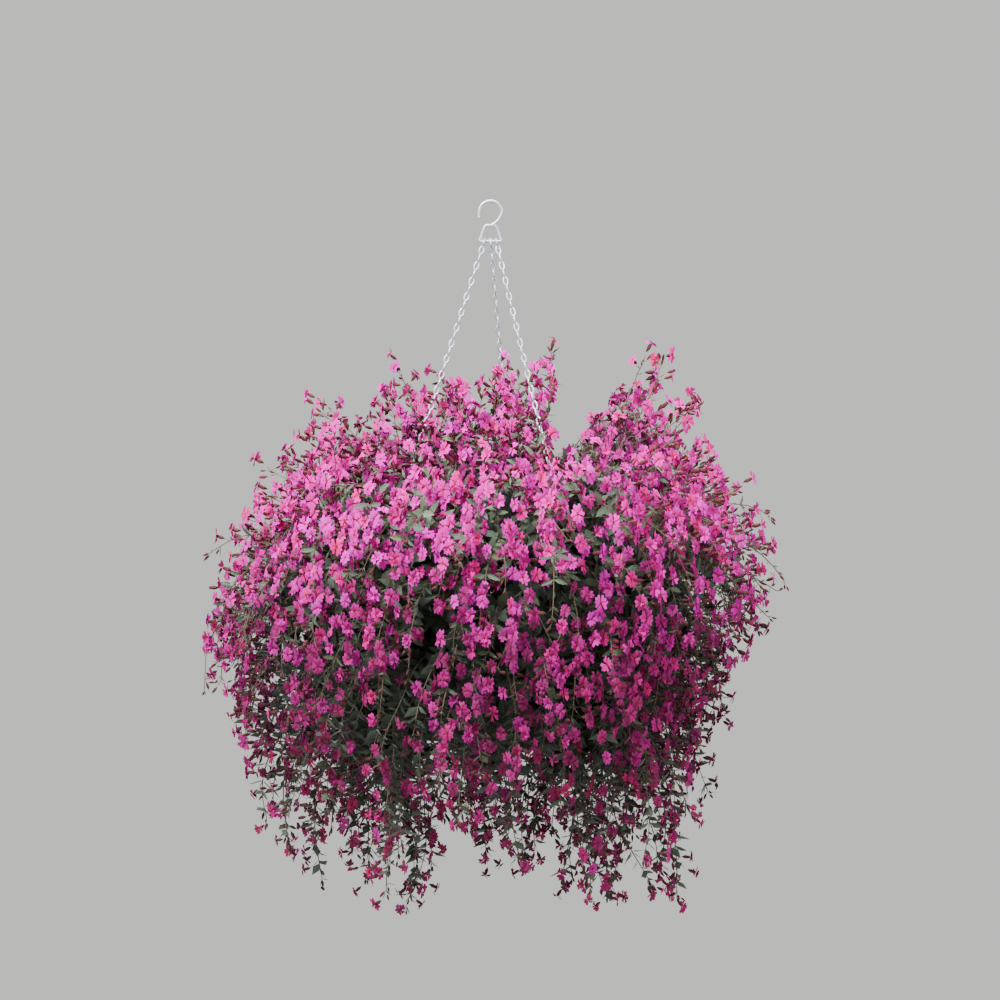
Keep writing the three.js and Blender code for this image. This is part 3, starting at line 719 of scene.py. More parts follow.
def shoot_paths(directions, distances):
    """Shoots on the crown stand up, those at the sides arch over, and the lower ones hang."""
    count = len(directions)
    tips = CENTRE + directions * distances[:, None]
    polar = np.degrees(np.arccos(directions[:, 2]))
    sooner = np.abs(directions[:, 1])
    arch, hanging = (
        angle - less * sooner for angle, less in zip(ARCH_ANGLES, SOONER_ANGLES))
    hang = smooth_step(polar, arch, hanging)[:, None]
    growth = directions * (1 - 0.88 * hang) - UP * 0.95 * hang
    growth = unit(growth + dice.normal(0, SHOOT_SCATTER, (count, 3)))
    length = dice.uniform(*SHOOT_LENGTHS, count)[:, None] + HANGING_LONGER * hang
    length = SHOOT_LENGTH * length
    control = clear_of_pot(tips - growth * length * 0.5)
    inward = unit(control - CENTRE)
    first = clear_of_pot(control - inward * length * 0.5)
    paths = bezier(first, control, tips, SHOOT_STEPS)
    share = np.linspace(0, 1, SHOOT_STEPS)[None, :, None]
    waves = np.sin(share * dice.uniform(5, 11, (count, 1, 3)) + dice.uniform(0, 6, (count, 1, 3)))
    paths = clear_of_pot(paths + waves * SHOOT_WAVE * share)
    margin = SHOOT_ROOT_RADIUS * 2
    return np.clip(paths, BOX_LOW + margin, BOX_HIGH - margin)


def grow():
    """Every crowd of the plant, by kind and level."""
    crowds = {
        kind: [Crowd() for _ in LEVELS] for kind in ("petals", "calyces", "leaves", "stems")
    }
    directions, distances = shoot_tips()
    paths = shoot_paths(directions, distances)
    outer = distance_to_chains(paths[:, SHOOT_STEPS // 3:]).min(axis=1) > CHAIN_CLEAR
    paths = paths[outer & ~in_cleft(paths[:, -3:]).any(axis=1)]
    sprays = np.argmax(unit(paths[:, SHOOT_STEPS // 2] - CENTRE) @ spray_directions.T, axis=1)
    for number, (_, first, end) in enumerate(LEVELS):
        mine = (sprays >= first) & (sprays < end)
        chosen = {kind: crowds[kind][number] for kind in crowds}
        grow_stems(chosen, range(first, end))
        grow_branches(chosen, paths[mine], sprays[mine])
        grow_shoots(chosen, paths[mine])
        grow_flowers(chosen, paths[mine])
    return crowds


def shares_of_reach(points):
    """How far out points are, as a share of the reach in their direction, and their offsets."""
    offsets = points - CENTRE
    distances = np.linalg.norm(offsets, axis=-1)
    return distances / reach(unit(offsets).reshape(-1, 3)).reshape(distances.shape), offsets


def painted_shade_of(points):
    """Painted shade: 0 at the outer skin of the crown, and 1 well inside the mass or low on its
    skirt.
    """
    shares, offsets = shares_of_reach(points)
    low = smooth_step(-offsets[..., 2], *LOW_DROPS)
    return np.clip(1 - smooth_step(shares, *DEPTH_SHARES) + LOW_IS_SHADED * low, 0, 1)


def grow_stems(crowd, indices):
    for index in indices:
        line = catmull_rom(stem_points(index), 4)[None]
        radii = np.linspace(STEM_RADIUS, STEM_RADIUS * 0.72, line.shape[1])[None]
        # Main stems sit deep in the plant and get the full painted shade.
        crowd["stems"].add_tubes(line, radii, 6, dice.random(1), np.ones(1))
        for number, share in enumerate(STEM_LEAVES):
            add_leaf_pair(crowd, line, share, 1.5, number * 1.1, LEAVES)


def grow_branches(crowd, paths, sprays):
    """Each shoot's branch from the end of its spray's stem, with leaves along it."""
    ends = CENTRE + spray_directions[sprays] * STEM_END
    firsts = paths[:, 0]
    middle = (ends + firsts) / 2
    lift = np.linalg.norm(firsts - ends, axis=1)[:, None] * 0.18
    control = clear_of_pot(middle + unit(middle - CENTRE) * lift)
    count = len(paths)
    lines = bezier(ends, control, firsts, BRANCH_STEPS)
    radii = np.linspace(STEM_RADIUS * 0.5, SHOOT_ROOT_RADIUS, BRANCH_STEPS)[None]
    # Branches get the full painted shade as well.
    crowd["stems"].add_tubes(
        lines, radii.repeat(count, axis=0), 4, dice.random(count), np.ones(count))
    for share in BRANCH_LEAVES:
        add_leaf_pair(crowd, lines, share, 1.05, dice.uniform(0, math.pi, count), [INNER_LEAF])


def grow_shoots(crowd, paths):
    count = len(paths)
    radii = np.linspace(SHOOT_ROOT_RADIUS, SHOOT_TIP_RADIUS, SHOOT_STEPS)[None]
    tints = dice.random(count)
    crowd["stems"].add_tubes(paths, radii.repeat(count, axis=0), 4, tints, painted_shade_of(paths[:, -1]))
    turn = dice.uniform(0, math.pi, count)
    for number, share in enumerate(SHOOT_LEAVES):
        forms = [INNER_LEAF] if share < INNER_SHARE else LEAVES
        quarters = number * math.pi / 2
        add_leaf_pair(crowd, paths, share, 1.05 - 0.55 * share, turn + quarters, forms)
    hanging = paths[unit(paths[:, -1] - CENTRE)[:, 2] < HANGS_BELOW]
    for share in HANGING_LEAVES:
        turn = dice.uniform(0, math.pi, len(hanging))
        add_leaf_pair(crowd, hanging, share, 0.7, turn, [INNER_LEAF])


def add_leaf_pair(crowd, paths, share, size, turn, forms):
    """Two opposite leaves on each path, at a share of its way and turned about it."""
    count = len(paths)
    off_node = dice.uniform(-OFF_NODE, OFF_NODE, count)
    points, tangents = sample_paths(paths, share + off_node)
    across, along = squares_to(tangents, UP + dice.normal(0, 0.05, tangents.shape))
    outward = unit(points - CENTRE)
    for side in (0, math.pi):
        angle = (turn + side + dice.normal(0, 0.25, count))[:, None]
        sideways = across * np.cos(angle) + along * np.sin(angle)
        lean = tangents * dice.uniform(0.2, 0.7, (count, 1))
        directions = unit(sideways + lean + outward * 0.25)
        frames = along_frames(directions, outward + tangents * 0.4)
        scales = LEAF_LENGTH * size * dice.uniform(*LEAF_SIZES, count)
        ends = points + directions * scales[:, None]
        kept = in_box(ends) & ~in_cleft(ends)
        kept &= ~in_pot(ends) & ~in_pot(points * 0.4 + ends * 0.6)
        kept &= distance_to_chains((points + ends) / 2) > 0.5 * HEAD_CLEAR
        kept &= distance_to_chains(ends) > CHAIN_WIRE * 2
        kinds = dice.integers(0, len(forms), count)
        tints, painted_shades = dice.random(count), painted_shade_of(points * 0.3 + ends * 0.7)
        for kind, form in enumerate(forms):
            mine = kept & (kinds == kind)
            crowd["leaves"].add(
                form, points[mine], frames[mine], scales[mine], tints[mine], painted_shades[mine])


def grow_flowers(crowd, paths):
    """Flowers at nodes on each shoot's outer part, with bracts, and buds at its tip."""
    lengths = np.linalg.norm(np.diff(paths, axis=1), axis=2).sum(axis=1)
    shares, offsets = shares_of_reach(paths)
    crown = smooth_step(unit(offsets[:, -1])[:, 2], 0.3, 0.8)[:, None]
    hidden = (shares < INNERMOST_FLOWER - CROWN_DEEPER * crown).sum(axis=1)
    first = np.clip(hidden / SHOOT_STEPS, 0.12, 0.8)
    nodes = np.round(lengths * (1 - first) / NODE_PITCH).astype(int)
    for number in range(nodes.max() + 1):
        mine = number <= nodes
        share = 1 - number / nodes[mine] * (1 - first[mine])
        below_tip = number > 0
        share = share + below_tip * dice.uniform(-OFF_NODE, OFF_NODE, mine.sum())
        points, tangents = sample_paths(paths[mine], share)
        outward = unit(points - CENTRE)
        side = outward * 0.7 + dice.normal(0, 0.85, points.shape) + UP * 0.2
        side = unit(side - tangents * (side * tangents).sum(axis=1, keepdims=True) * 0.9)
        lean = dice.uniform(0.1, 0.6, (mine.sum(), 1)) if below_tip else 1.5
        add_flowers(crowd, points, tangents, outward, unit(side + tangents * lean))
        add_bracts(crowd, points, tangents, unit(np.cross(tangents, side)) * (-1) ** number)
        for _ in range(2 - number):
            away = unit(tangents + dice.normal(0, 0.5, tangents.shape) + outward * 0.3)
            add_buds(crowd, points, away)


def opens(throats):
    """Whether a flower opens, by its height, its side and the hollow left of the middle."""
    count = len(throats)
    outward = unit(throats - CENTRE)
    from_hollow = np.degrees(np.arccos(np.clip(outward @ HOLLOW_DIRECTION, -1, 1)))
    heights, shares = np.array(BLOOM).T
    open_here = dice.random(count) > HOLLOW_THINNING * bump(from_hollow, HOLLOW_WIDTH)
    to_side = smooth_step(np.abs(outward[:, 0]), 0.72, 0.95)
    open_here &= dice.random(count) > SIDES_THINNING * to_side
    return open_here & (dice.random(count) < np.interp(throats[:, 2], heights * MM, shares))


def add_flowers(crowd, points, tangents, outward, away):
    count = len(points)
    sizes = dice.uniform(*FLOWER_SIZES, count)
    pedicels = PEDICEL_LENGTH * dice.uniform(*FLOWER_PEDICELS, count)[:, None]
    axes = away + outward * 0.4 + dice.normal(0, 0.3, (count, 3))
    axes = unit(axes * (1.0, 1.0, NOD))
    bases = points + unit(away + tangents * 0.5) * pedicels
    throats = bases + axes * (CALYX_LENGTH * sizes)[:, None]
    spread = throats + axes * 2 * MM
    kept = opens(throats) & has_room(spread, HEAD_CLEAR, PETAL_LENGTH * 1.05)
    points, bases, axes, throats, sizes = (
        values[kept] for values in (points, bases, axes, throats, sizes))
    count = len(points)
    # Painted shade: by how deep the flower sits, plus a random share for the shade of the flowers
    # round it.
    painted_shades = np.clip(painted_shade_of(throats) + SHADED_BY_OTHERS * dice.random(count) ** 2, 0, 1)
    low = smooth_step(CENTRE[2] - throats[:, 2], -0.06, 0.2)
    sizes = sizes * (1 - LOW_FLOWERS_SMALLER * low)
    # Painted shade: lower flowers lean to the red end of the tint, as flowers in shade look, the
    # higher ones to violet.
    tints = np.clip(dice.normal(0.63, 0.22, count) - 0.25 * low, 0, 1)
    crowd["stems"].add_stalks(
        points, bases, PEDICEL_RADIUS["flower"], dice.random(count), painted_shades)
    frames = spun_frames(axes, dice.uniform(0, FULL_TURN, count))
    crowd["calyces"].add(
        CALYX, throats, frames, CALYX_LENGTH * sizes, dice.random(count), painted_shades)
    frames = frames * FLOWER_STRETCH[:, None]
    in_bloom = dice.random(count) > FADED_SHARE
    kinds = dice.choice(len(COROLLAS), count, p=COROLLA_SHARES)
    for kind, form in enumerate(COROLLAS):
        mine = in_bloom & (kinds == kind)
        crowd["petals"].add(
            form, throats[mine], frames[mine], PETAL_LENGTH * sizes[mine],
            tints[mine], painted_shades[mine])


def add_buds(crowd, points, away):
    count = len(points)
    lengths = BUD_LENGTH * dice.uniform(*BUD_SIZES, count)
    pedicels = PEDICEL_LENGTH * dice.uniform(*BUD_PEDICELS, count)[:, None]
    bases = points + away * pedicels
    tips = bases + away * lengths[:, None]
    kept = has_room(tips, CHAIN_CLEAR)
    points, bases, tips, away, lengths = (
        values[kept] for values in (points, bases, tips, away, lengths))
    count = len(points)
    painted_shades = painted_shade_of(tips)
    crowd["stems"].add_stalks(points, bases, PEDICEL_RADIUS["bud"], dice.random(count), painted_shades)
    frames = spun_frames(away, dice.uniform(0, FULL_TURN, count))
    crowd["calyces"].add(BUD, tips, frames, lengths, dice.random(count), painted_shades)


def add_bracts(crowd, points, tangents, sideways):
    directions = unit(sideways + tangents * 0.7 + dice.normal(0, 0.25, tangents.shape))
    frames = along_frames(directions, tangents + (points - CENTRE) * 2)
    scales = BRACT_LENGTH * dice.uniform(*BRACT_SIZES, len(points))
    ends = points + directions * scales[:, None]
    kept = in_box(ends) & (distance_to_chains(points) > CHAIN_CLEAR)
    crowd["leaves"].add(
        BRACT, points[kept], frames[kept], scales[kept],
        dice.uniform(0.4, 1.0, kept.sum()), painted_shade_of(points[kept]))


# Materials

class Nodes:
    """Short ways to make and link the nodes of one material."""

    def __init__(self, name):
        self.material = bpy.data.materials.new(name)
        self.material.use_nodes = True
        self.tree = self.material.node_tree
        self.shader = self.tree.nodes["Principled BSDF"]

    def add(self, kind, settings=None, inputs=None):
        node = self.tree.nodes.new(kind)
        for key, value in (settings or {}).items():
            setattr(node, key, value)
        for key, value in (inputs or {}).items():
            self.feed(node.inputs[key], value)
        return node

    def feed(self, socket, value):
        if isinstance(value, bpy.types.NodeSocket):
            self.tree.links.new(value, socket)
        else:
            socket.default_value = value

    def attribute(self, name):
        return self.add("ShaderNodeAttribute", {"attribute_name": name}).outputs["Fac"]

    def places(self):
        """The two directions of the form's texture, across or round it and along it."""
        layer = self.add("ShaderNodeUVMap", {"uv_map": "form"})
        split = self.add("ShaderNodeSeparateXYZ", inputs={"Vector": layer.outputs["UV"]})
        return split.outputs["X"], split.outputs["Y"]

    def math(self, operation, first, second=0.0):
        node = self.add("ShaderNodeMath", {"operation": operation})
        self.feed(node.inputs[0], first)
        self.feed(node.inputs[1], second)
        return node.outputs[0]

    def remap(self, value, from_low, from_high, to_low, to_high):
        node = self.add("ShaderNodeMapRange", inputs={
            "Value": value, "From Min": from_low, "From Max": from_high,
            "To Min": to_low, "To Max": to_high})
        return node.outputs["Result"]

    def mix(self, share, first, second):
        node = self.add("ShaderNodeMix", {"data_type": "RGBA"})
        self.feed(node.inputs["Factor"], share)
        self.feed(node.inputs["A"], first)
        self.feed(node.inputs["B"], second)
        return node.outputs["Result"]

    def noise(self, scale, detail=3.0):
        place = self.add("ShaderNodeTexCoord").outputs["Object"]
        node = self.add("ShaderNodeTexNoise", inputs={
            "Vector": place, "Scale": scale, "Detail": detail})
        return node.outputs["Fac"]

    def mottled(self, colour, scale, low, high, share, other, detail=3.0):
        """A colour with up to a share of another where the noise is high."""
        patches = self.remap(self.noise(scale, detail), low, high, 0.0, share)
        return self.mix(patches, colour, other)

    def with_painted_shade(self, colour, share, other):
        """Painted shade: a colour that gets up to a share of another, darker one, with each copy's
        painted shade for how deep it sits in the plant.
        """
        return self.mix(self.math("MULTIPLY", self.attribute("painted_shade"), share), colour, other)

    def bump(self, height, distance, strength):
        node = self.add("ShaderNodeBump", inputs={
            "Height": height, "Distance": distance, "Strength": strength})
        self.feed(self.shader.inputs["Normal"], node.outputs["Normal"])

    def finish(self, colour, roughness, **constants):
        self.feed(self.shader.inputs["Base Color"], colour)
        self.feed(self.shader.inputs["Roughness"], roughness)
        for key, value in constants.items():
            self.shader.inputs[key.replace("_", " ")].default_value = value
        return self.material


def rgb(red, green, blue):
    """A colour given as it shows on a screen, 0 to 255."""
    def linear(value):
        value /= 255
        return value / 12.92 if value <= 0.04045 else ((value + 0.055) / 1.055) ** 2.4
    return (linear(red), linear(green), linear(blue), 1.0)


def petal_material():
    n = Nodes("petal_carmine")
    fan, along = n.places()
    tint = n.attribute("tint")
    # The tint spreads flowers from red-pink to violet-pink at random, and leans red on lower flowers
    # as painted shade.
    body = n.mix(tint, rgb(254, 6, 100), rgb(248, 4, 192))
    edge = n.mix(tint, rgb(250, 12, 214), rgb(238, 8, 255))
    colour = n.mix(n.remap(along, 0.45, 1.0, 0.0, 0.55), body, edge)
    throat = n.remap(along, 0.07, 0.24, 0.9, 0.0)
    colour = n.mix(throat, colour, rgb(120, 14, 62))
    veins = n.math("SINE", n.math("MULTIPLY", fan, 62.0))
    vein_share = n.remap(veins, 0.55, 1.0, 0.0, 0.28)
    vein_share = n.math("MULTIPLY", vein_share, n.remap(along, 0.9, 0.3, 0.2, 1.0))
    colour = n.mix(vein_share, colour, rgb(190, 16, 110))
    colour = n.mottled(colour, 260.0, 0.35, 0.7, 0.2, rgb(252, 14, 196))
    # Painted shade: towards dark red inside the plant and low on its skirt.
    colour = n.with_painted_shade(colour, 0.84, rgb(94, 34, 54))
    n.bump(veins, 0.08 * MM, 0.5)
    return n.finish(colour, 0.6, Specular_IOR_Level=0.12)


def calyx_material():
    n = Nodes("calyx_red")
    around, along = n.places()
    body = n.mix(n.attribute("tint"), rgb(92, 12, 34), rgb(136, 24, 52))
    ribs = n.math("SINE", n.math("MULTIPLY", around, FULL_TURN * 10))
    colour = n.mix(n.remap(ribs, 0.2, 1.0, 0.0, 0.6), body, rgb(84, 16, 30))
    green = n.remap(along, 0.75, 1.0, 0.0, 0.45)
    colour = n.mix(green, colour, rgb(112, 96, 58))
    colour = n.mottled(colour, 420.0, 0.45, 0.75, 0.3, rgb(150, 50, 70))
    # Painted shade: towards dark maroon inside the plant and low on its skirt.
    colour = n.with_painted_shade(colour, 0.7, rgb(52, 12, 22))
    n.bump(ribs, 0.25 * MM, 0.8)
    return n.finish(colour, 0.5, Sheen_Weight=0.08, Specular_IOR_Level=0.3)


def leaf_material():
    n = Nodes("leaf_grey_green")
    across, along = n.places()
    tint = n.attribute("tint")
    body = n.mix(n.remap(tint, 0.0, 0.8, 0.0, 1.0), rgb(98, 122, 98), rgb(136, 152, 120))
    yellower = n.remap(tint, 0.86, 1.0, 0.0, 0.8)
    body = n.mix(yellower, body, rgb(140, 156, 70))
    off_rib = n.math("ABSOLUTE", n.math("SUBTRACT", across, 0.5))
    colour = n.mix(n.remap(off_rib, 0.0, 0.06, 0.55, 0.0), body, rgb(160, 172, 148))
    slanted = n.math("MULTIPLY", along, 62.0)
    slanted = n.math("SUBTRACT", slanted, n.math("MULTIPLY", off_rib, 55.0))
    veins = n.math("SINE", slanted)
    colour = n.mix(n.remap(veins, 0.6, 1.0, 0.0, 0.22), colour, rgb(150, 164, 138))
    colour = n.mix(n.remap(n.noise(180.0), 0.3, 0.75, 0.3, 0.0), colour, rgb(70, 92, 72))
    # Painted shade: towards near-black green inside the plant and low on its skirt.
    colour = n.with_painted_shade(colour, 0.86, rgb(22, 30, 18))
    n.bump(veins, 0.15 * MM, 0.6)
    return n.finish(colour, 0.58, Sheen_Weight=0.2, Specular_IOR_Level=0.35)


def stem_material():
    n = Nodes("stem_red_green")
    _, along = n.places()
    body = n.mix(n.attribute("tint"), rgb(96, 92, 62), rgb(118, 62, 52))
    colour = n.mottled(body, 240.0, 0.35, 0.7, 0.5, rgb(140, 128, 92))
    colour = n.mix(n.remap(along, 0.6, 1.0, 0.0, 0.25), colour, rgb(130, 60, 56))
    # Painted shade: towards dark olive inside the plant and low on its skirt.
    colour = n.with_painted_shade(colour, 0.6, rgb(44, 42, 28))
    n.bump(n.noise(900.0), 0.1 * MM, 0.5)
    return n.finish(colour, 0.55, Sheen_Weight=0.2, Specular_IOR_Level=0.35)


def steel_material():
    n = Nodes("galvanised_steel")
    place = n.add("ShaderNodeTexCoord").outputs["Object"]
    spangle = n.add("ShaderNodeTexVoronoi", inputs={"Vector": place, "Scale": 700.0})
    grey = n.add("ShaderNodeSeparateXYZ", inputs={"Vector": spangle.outputs["Color"]})
    colour = n.mix(grey.outputs["X"], rgb(222, 230, 234), rgb(246, 250, 252))
    colour = n.mottled(colour, 120.0, 0.55, 0.8, 0.4, rgb(170, 174, 174))
    n.bump(n.noise(1400.0), 0.05 * MM, 0.4)
    return n.finish(colour, n.remap(n.noise(300.0), 0.3, 0.7, 0.36, 0.55), Metallic=0.75)


def pot_material():
    n = Nodes("pot_plastic")
    colour = n.mottled(rgb(24, 26, 24), 30.0, 0.3, 0.7, 1.0, rgb(36, 38, 35))
    colour = n.mottled(colour, 300.0, 0.6, 0.8, 0.5, rgb(70, 68, 58))
    n.bump(n.noise(1800.0), 0.06 * MM, 0.5)
    return n.finish(colour, n.remap(n.noise(90.0), 0.3, 0.7, 0.42, 0.6))


def soil_material():
    n = Nodes("potting_compost")
    colour = n.mottled(rgb(38, 26, 18), 260.0, 0.35, 0.65, 1.0, rgb(78, 56, 40), detail=6.0)
    colour = n.mottled(colour, 900.0, 0.66, 0.72, 0.8, rgb(168, 158, 140))
    n.bump(n.noise(500.0, 6.0), 1.2 * MM, 0.9)
    return n.finish(colour, 0.95)


# The pot, the soil, the hook and the chains

def ring_faces(rings, size, closed):
    """Faces between each ring of points and the next, and from the last to the first."""
    faces = []
    for ring in range(rings if closed else rings - 1):
        here, there = ring * size, (ring + 1) % rings * size
        for corner in range(size):
            after = (corner + 1) % size
            faces.append((here + corner, here + after, there + after, there + corner))
    return faces


def sweep(path, radius, sides, closed):
    """Points and faces of a round wire along a path."""
    path = np.asarray(path, float)
    if closed:
        tangents = unit(np.roll(path, -1, axis=0) - np.roll(path, 1, axis=0))
    else:
        tangents = unit(np.gradient(path, axis=0))
    normal = unit(np.cross(tangents[0], (0.31, 0.52, 0.79)))
    normals = []
    for tangent in tangents:
        normal = unit(normal - tangent * (normal @ tangent))
        normals.append(normal)
    normals = np.array(normals)
    across = np.cross(tangents, normals)
    angles = (np.arange(sides) / sides * FULL_TURN)[:, None]
    rings = (normals[:, None] * np.cos(angles) + across[:, None] * np.sin(angles)) * radius
    faces = ring_faces(len(path), sides, closed)
    if not closed:
        faces.append(tuple(range(sides))[::-1])
        faces.append(tuple(range((len(path) - 1) * sides, len(path) * sides)))
    return (rings + path[:, None]).reshape(-1, 3), faces


def solid_piece(name, parts, material, nodes):
    """One smooth piece made of parts, each with its points and faces."""
    points, faces, start = [], [], 0
    for part_points, part_faces in parts:
        points.append(np.asarray(part_points, float))
        faces += [tuple(int(corner) + start for corner in face) for face in part_faces]
        start += len(part_points)
    mesh = bpy.data.meshes.new(name)
    mesh.from_pydata(np.vstack(points), [], faces)
    mesh.shade_smooth()
    mesh.materials.append(material)
    placed(name, mesh, nodes)


def link_path(halves, half_length):
    """The wire's line in a slim pointed link that lies along Y."""
    end, middle = halves["end"] + CHAIN_WIRE * 0.35, halves["middle"] + CHAIN_WIRE / 2
    x, y = end * LINK_SHOULDER, half_length - end * 0.35
    corners = [
        (x, -y), (middle, 0), (x, y), (0, half_length),
        (-x, y), (-middle, 0), (-x, -y), (0, -half_length),
    ]
    ring = np.array([(x, y, 0.0) for x, y in corners])
    return np.array(smooth_steps(np.vstack((ring[-1:], ring, ring[:2])), LINK_STEPS))


def chain_parts(turn, on_eye):
    """Links in a row from the eye to the ear, each a quarter turn from the last."""
    top, bottom, along = strand_ends(turn, on_eye)
    length = np.linalg.norm(bottom - top)
    count = round((length - CHAIN_WIRE) / LINK_PITCH)
    pitch = (length - LINK_LAP) / count
    half_length = (pitch + LINK_LAP) / 2
    across_eye = unit(np.cross((1.0, 0.0, 0.0), along))
    across_ear = unit(np.cross(UP, along))
    turn_to_ear = math.atan2(
        np.cross(across_eye, across_ear) @ along, across_eye @ across_ear)
    quarter = math.pi / 2
    twist = turn_to_ear - (count - 1) * quarter
    spare = twist - math.pi * round(twist / math.pi)
    step = quarter + spare / (count - 1)
    beside_eye = np.cross(along, across_eye)
    parts = []
    for index in range(count):
        halves = END_LINK_HALVES if index in (0, count - 1) else LINK_HALVES
        angle = index * step
        across = across_eye * math.cos(angle) + beside_eye * math.sin(angle)
        normal = np.cross(across, along)
        middle = top + along * (LINK_LAP / 2 + (index + 0.5) * pitch)
        line = link_path(halves, half_length - CHAIN_WIRE / 2)
        line = middle + line[:, :1] * across + line[:, 1:2] * along + line[:, 2:] * normal
        parts.append(sweep(line, CHAIN_WIRE / 2, CHAIN_SIDES, closed=True))
    return parts


def hook_parts():
    """The hook from its tip over the crown to its neck, and the eye under it."""
    bend = HOOK_INNER_RADIUS + HOOK_WIRE / 2
    middle = -HOOK_INNER_RADIUS
    points = [(-bend, 0, middle - HOOK_TIP_DROP)]
    for eighth in range(9):
        angle = eighth * math.pi / 8
        points.append((-bend * math.cos(angle), 0, middle + bend * math.sin(angle)))
    points.append((HOOK_NECK_X, 0, middle - HOOK_NECK_DROP))
    points.append((0, 0, EYE_TOP - EYE_BAR / 2 + HOOK_INTO_EYE))
    return [
        sweep(catmull_rom(points, 8), HOOK_WIRE / 2, HOOK_SIDES, closed=False),
        sweep(eye_line(), EYE_BAR / 2, EYE_SIDES, closed=True),
    ]


def eye_line():
    """The middle of the eye's bar, which is wider at its foot and has rounded corners."""
    half = EYE_BAR / 2
    wide, narrow = EYE_BOTTOM_HALF + half, EYE_TOP_HALF + half
    low, high = EYE_BOTTOM - half, EYE_TOP + half
    corners = np.array(((wide, low), (narrow, high), (-narrow, high), (-wide, low)))
    befores, afters = np.roll(corners, 1, axis=0), np.roll(corners, -1, axis=0)
    line = []
    for before, corner, after in zip(befores, corners, afters):
        start = corner + unit(before - corner) * EYE_ROUNDING
        end = corner + unit(after - corner) * EYE_ROUNDING
        for s in np.linspace(0, 1, 7):
            x, z = start * (1 - s) ** 2 + corner * 2 * s * (1 - s) + end * s ** 2
            line.append((x, 0, z))
    return line


def lathe(profile, turns):
    """Points and faces of a closed outline turned about Z."""
    points = []
    for turn in range(turns):
        angle = turn / turns * FULL_TURN
        points += [(r * math.cos(angle), r * math.sin(angle), z) for r, z in profile]
    return points, ring_faces(turns, len(profile), closed=True)


def ear_parts(turn):
    """An ear on the rim: a tab with rounded shoulders round the chain's hole."""
    place, out, beside = ear_hole(turn), turned_out(turn), turned_out(turn + 90)
    rise = EAR_TALL - EAR_SUNK - EAR_HOLE_ABOVE_RIM
    drop = EAR_HOLE_ABOVE_RIM + EAR_SUNK
    outer, inner = [], []
    for step in range(EAR_STEPS):
        angle = step / EAR_STEPS * FULL_TURN
        x, z = math.cos(angle), math.sin(angle)
        squareness = EAR_SQUARENESS if z > 0 else 1
        grow = 1 - squareness + squareness / max(abs(x), abs(z))
        outer.append((x * EAR_WIDE / 2 * grow, z * (rise if z > 0 else drop) * grow))
        inner.append((x * EAR_HOLE_RADIUS, z * EAR_HOLE_RADIUS))
    points = []
    for ring, face in ((outer, 1), (inner, 1), (inner, -1), (outer, -1)):
        for x, z in ring:
            points.append(place + beside * x + UP * z + out * face * EAR_THICK / 2)
    return points, ring_faces(4, EAR_STEPS, closed=True)


def make_pot(material):
    """The pot's outline runs from its drain hole up the outside, round the bead and down inside."""
    profile = [
        (DRAIN_RADIUS, BASE_Z), (BASE_RADIUS - 4 * MM, BASE_Z), (BASE_RADIUS, BASE_Z + 3 * MM)]
    for share in (0.25, 0.5, 0.75, 0.97):
        radius = BASE_RADIUS + (RIM_RADIUS - BASE_RADIUS) * share
        profile.append((radius, BASE_Z + (POT_DEPTH - BEAD) * share))
    for step in range(9):
        angle = (step / 8 - 0.5) * math.pi
        radius = RIM_RADIUS + BEAD * (0.45 + 0.5 * math.cos(angle))
        profile.append((radius, RIM_Z + BEAD / 2 * (math.sin(angle) - 1)))
    profile += [
        (RIM_RADIUS - WALL, RIM_Z - 0.6 * MM), (BASE_RADIUS - WALL, BASE_Z + WALL),
        (DRAIN_RADIUS, BASE_Z + WALL),
    ]
    parts = [lathe(profile, POT_TURNS)] + [ear_parts(turn) for _, turn, _ in CHAINS]
    solid_piece("pot_shell", parts, material, ["pot"])


def make_soil(material):
    """Compost with a crumbly top, a little inside the pot's wall."""
    bottom = BASE_Z + WALL + 0.3 * MM
    bottom_radius = BASE_RADIUS - WALL - 1 * MM
    slope = (RIM_RADIUS - BASE_RADIUS) / (POT_DEPTH - WALL)
    top_radius = bottom_radius + slope * (SOIL_Z - bottom)
    rings = [(top_radius * ring / SOIL_RINGS, SOIL_Z) for ring in range(1, SOIL_RINGS + 1)]
    rings.append((bottom_radius, bottom))
    points, faces = [(0, 0, SOIL_Z)], []
    for number, (radius, z) in enumerate(rings, 1):
        for turn in range(POT_TURNS):
            angle = turn / POT_TURNS * FULL_TURN
            crumb = dice.normal(0, SOIL_CRUMBS) if number < SOIL_RINGS else 0
            points.append((radius * math.cos(angle), radius * math.sin(angle), z + crumb))
    points.append((0, 0, bottom))
    last = len(points) - 1
    for turn in range(POT_TURNS):
        after = (turn + 1) % POT_TURNS
        faces.append((0, 1 + turn, 1 + after))
        for ring in range(SOIL_RINGS):
            here, there = 1 + ring * POT_TURNS, 1 + (ring + 1) * POT_TURNS
            faces.append((here + turn, there + turn, there + after, here + after))
        base = 1 + SOIL_RINGS * POT_TURNS
        faces.append((last, base + after, base + turn))
    solid_piece("soil_top", [(points, faces)], material, ["soil"])


# Floor, lights and camera

FLOOR_Z = -6.5
FLOOR_HALF = 28.0
# Each light: its place, its size, its power and its colour. They face the plant's centre.
LIGHTS = {
    "key": ((-1.5, -2.3, 2.5), 1.6, 440, (0.9, 0.93, 1.0)),
    "fill": ((2.6, -2.4, 0.3), 2.4, 36, (0.93, 0.96, 1.0)),
    "top": ((0.3, 1.4, 2.4), 1.6, 130, (0.96, 0.97, 1.0)),
}
# What the photo shows: its middle, how far off it is taken, and the width in view at the plant
PHOTO_MIDDLE = (11.4 * MM, -357 * MM)
CAMERA_DISTANCE = 4.5
PHOTO_WIDTH = 1.2
SENSOR = 36


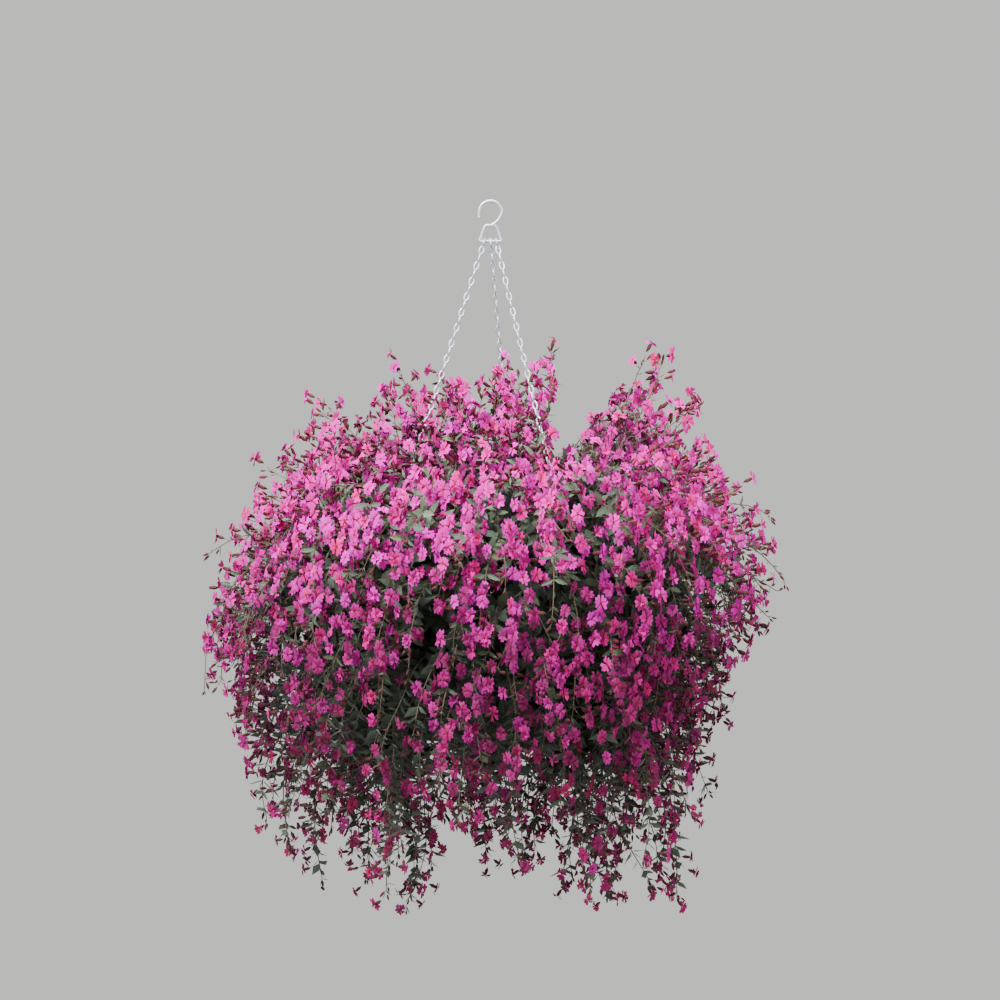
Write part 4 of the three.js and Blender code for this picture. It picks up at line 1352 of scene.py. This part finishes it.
def make_stage():
    mesh = bpy.data.meshes.new("floor")
    corners = [(-1, -1), (1, -1), (1, 1), (-1, 1)]
    points = [(x * FLOOR_HALF, y * FLOOR_HALF, FLOOR_Z) for x, y in corners]
    mesh.from_pydata(points, [], [(0, 1, 2, 3)])
    mesh.materials.append(Nodes("floor_pale").finish(rgb(225, 224, 220), 0.9))
    floor = in_scene("floor", mesh)
    world = bpy.data.worlds.new("studio")
    world.use_nodes = True
    background = world.node_tree.nodes["Background"]
    background.inputs["Color"].default_value = rgb(226, 226, 224)
    background.inputs["Strength"].default_value = 0.95
    bpy.context.scene.world = world


def make_lights():
    for name, (place, size, power, colour) in LIGHTS.items():
        light = bpy.data.lights.new(name, "AREA")
        light.energy = power
        light.size = size
        light.color = colour
        lamp = in_scene(name, light)
        lamp.location = place
        towards = Vector(CENTRE) - Vector(place)
        lamp.rotation_euler = towards.to_track_quat("-Z", "Y").to_euler()


def make_camera():
    camera = bpy.data.cameras.new("camera")
    camera.sensor_width = SENSOR
    camera.lens = SENSOR * CAMERA_DISTANCE / PHOTO_WIDTH
    camera.clip_end = 100
    viewer = in_scene("camera", camera)
    viewer.location = (PHOTO_MIDDLE[0], -CAMERA_DISTANCE, PHOTO_MIDDLE[1])
    viewer.rotation_euler = (math.radians(90), 0, 0)
    bpy.context.scene.camera = viewer


# Everything is made here

steel = steel_material()
make_pot(pot_material())
make_soil(soil_material())
solid_piece("hook_wire", hook_parts(), steel, ["hook"])
for name, turn, on_eye in CHAINS:
    solid_piece(name + "_links", chain_parts(turn, on_eye), steel, [name])

# Petals and leaves are thin sheets, so they keep their flat faces, and what is round is smoothed
finishes = {
    "petals": (petal_material(), "petal", False),
    "calyces": (calyx_material(), "calyx", True),
    "leaves": (leaf_material(), "leaf", False),
    "stems": (stem_material(), "stem", True),
}
for kind, crowds in grow().items():
    material, slot, smooth = finishes[kind]
    for crowd, (level, first, end) in zip(crowds, LEVELS):
        nodes = [f"spray_{number + 1:02d}" for number in range(first, end)]
        crowd.build(f"{kind}_{level}", material, slot, nodes, smooth)

make_stage()
make_lights()
make_camera()
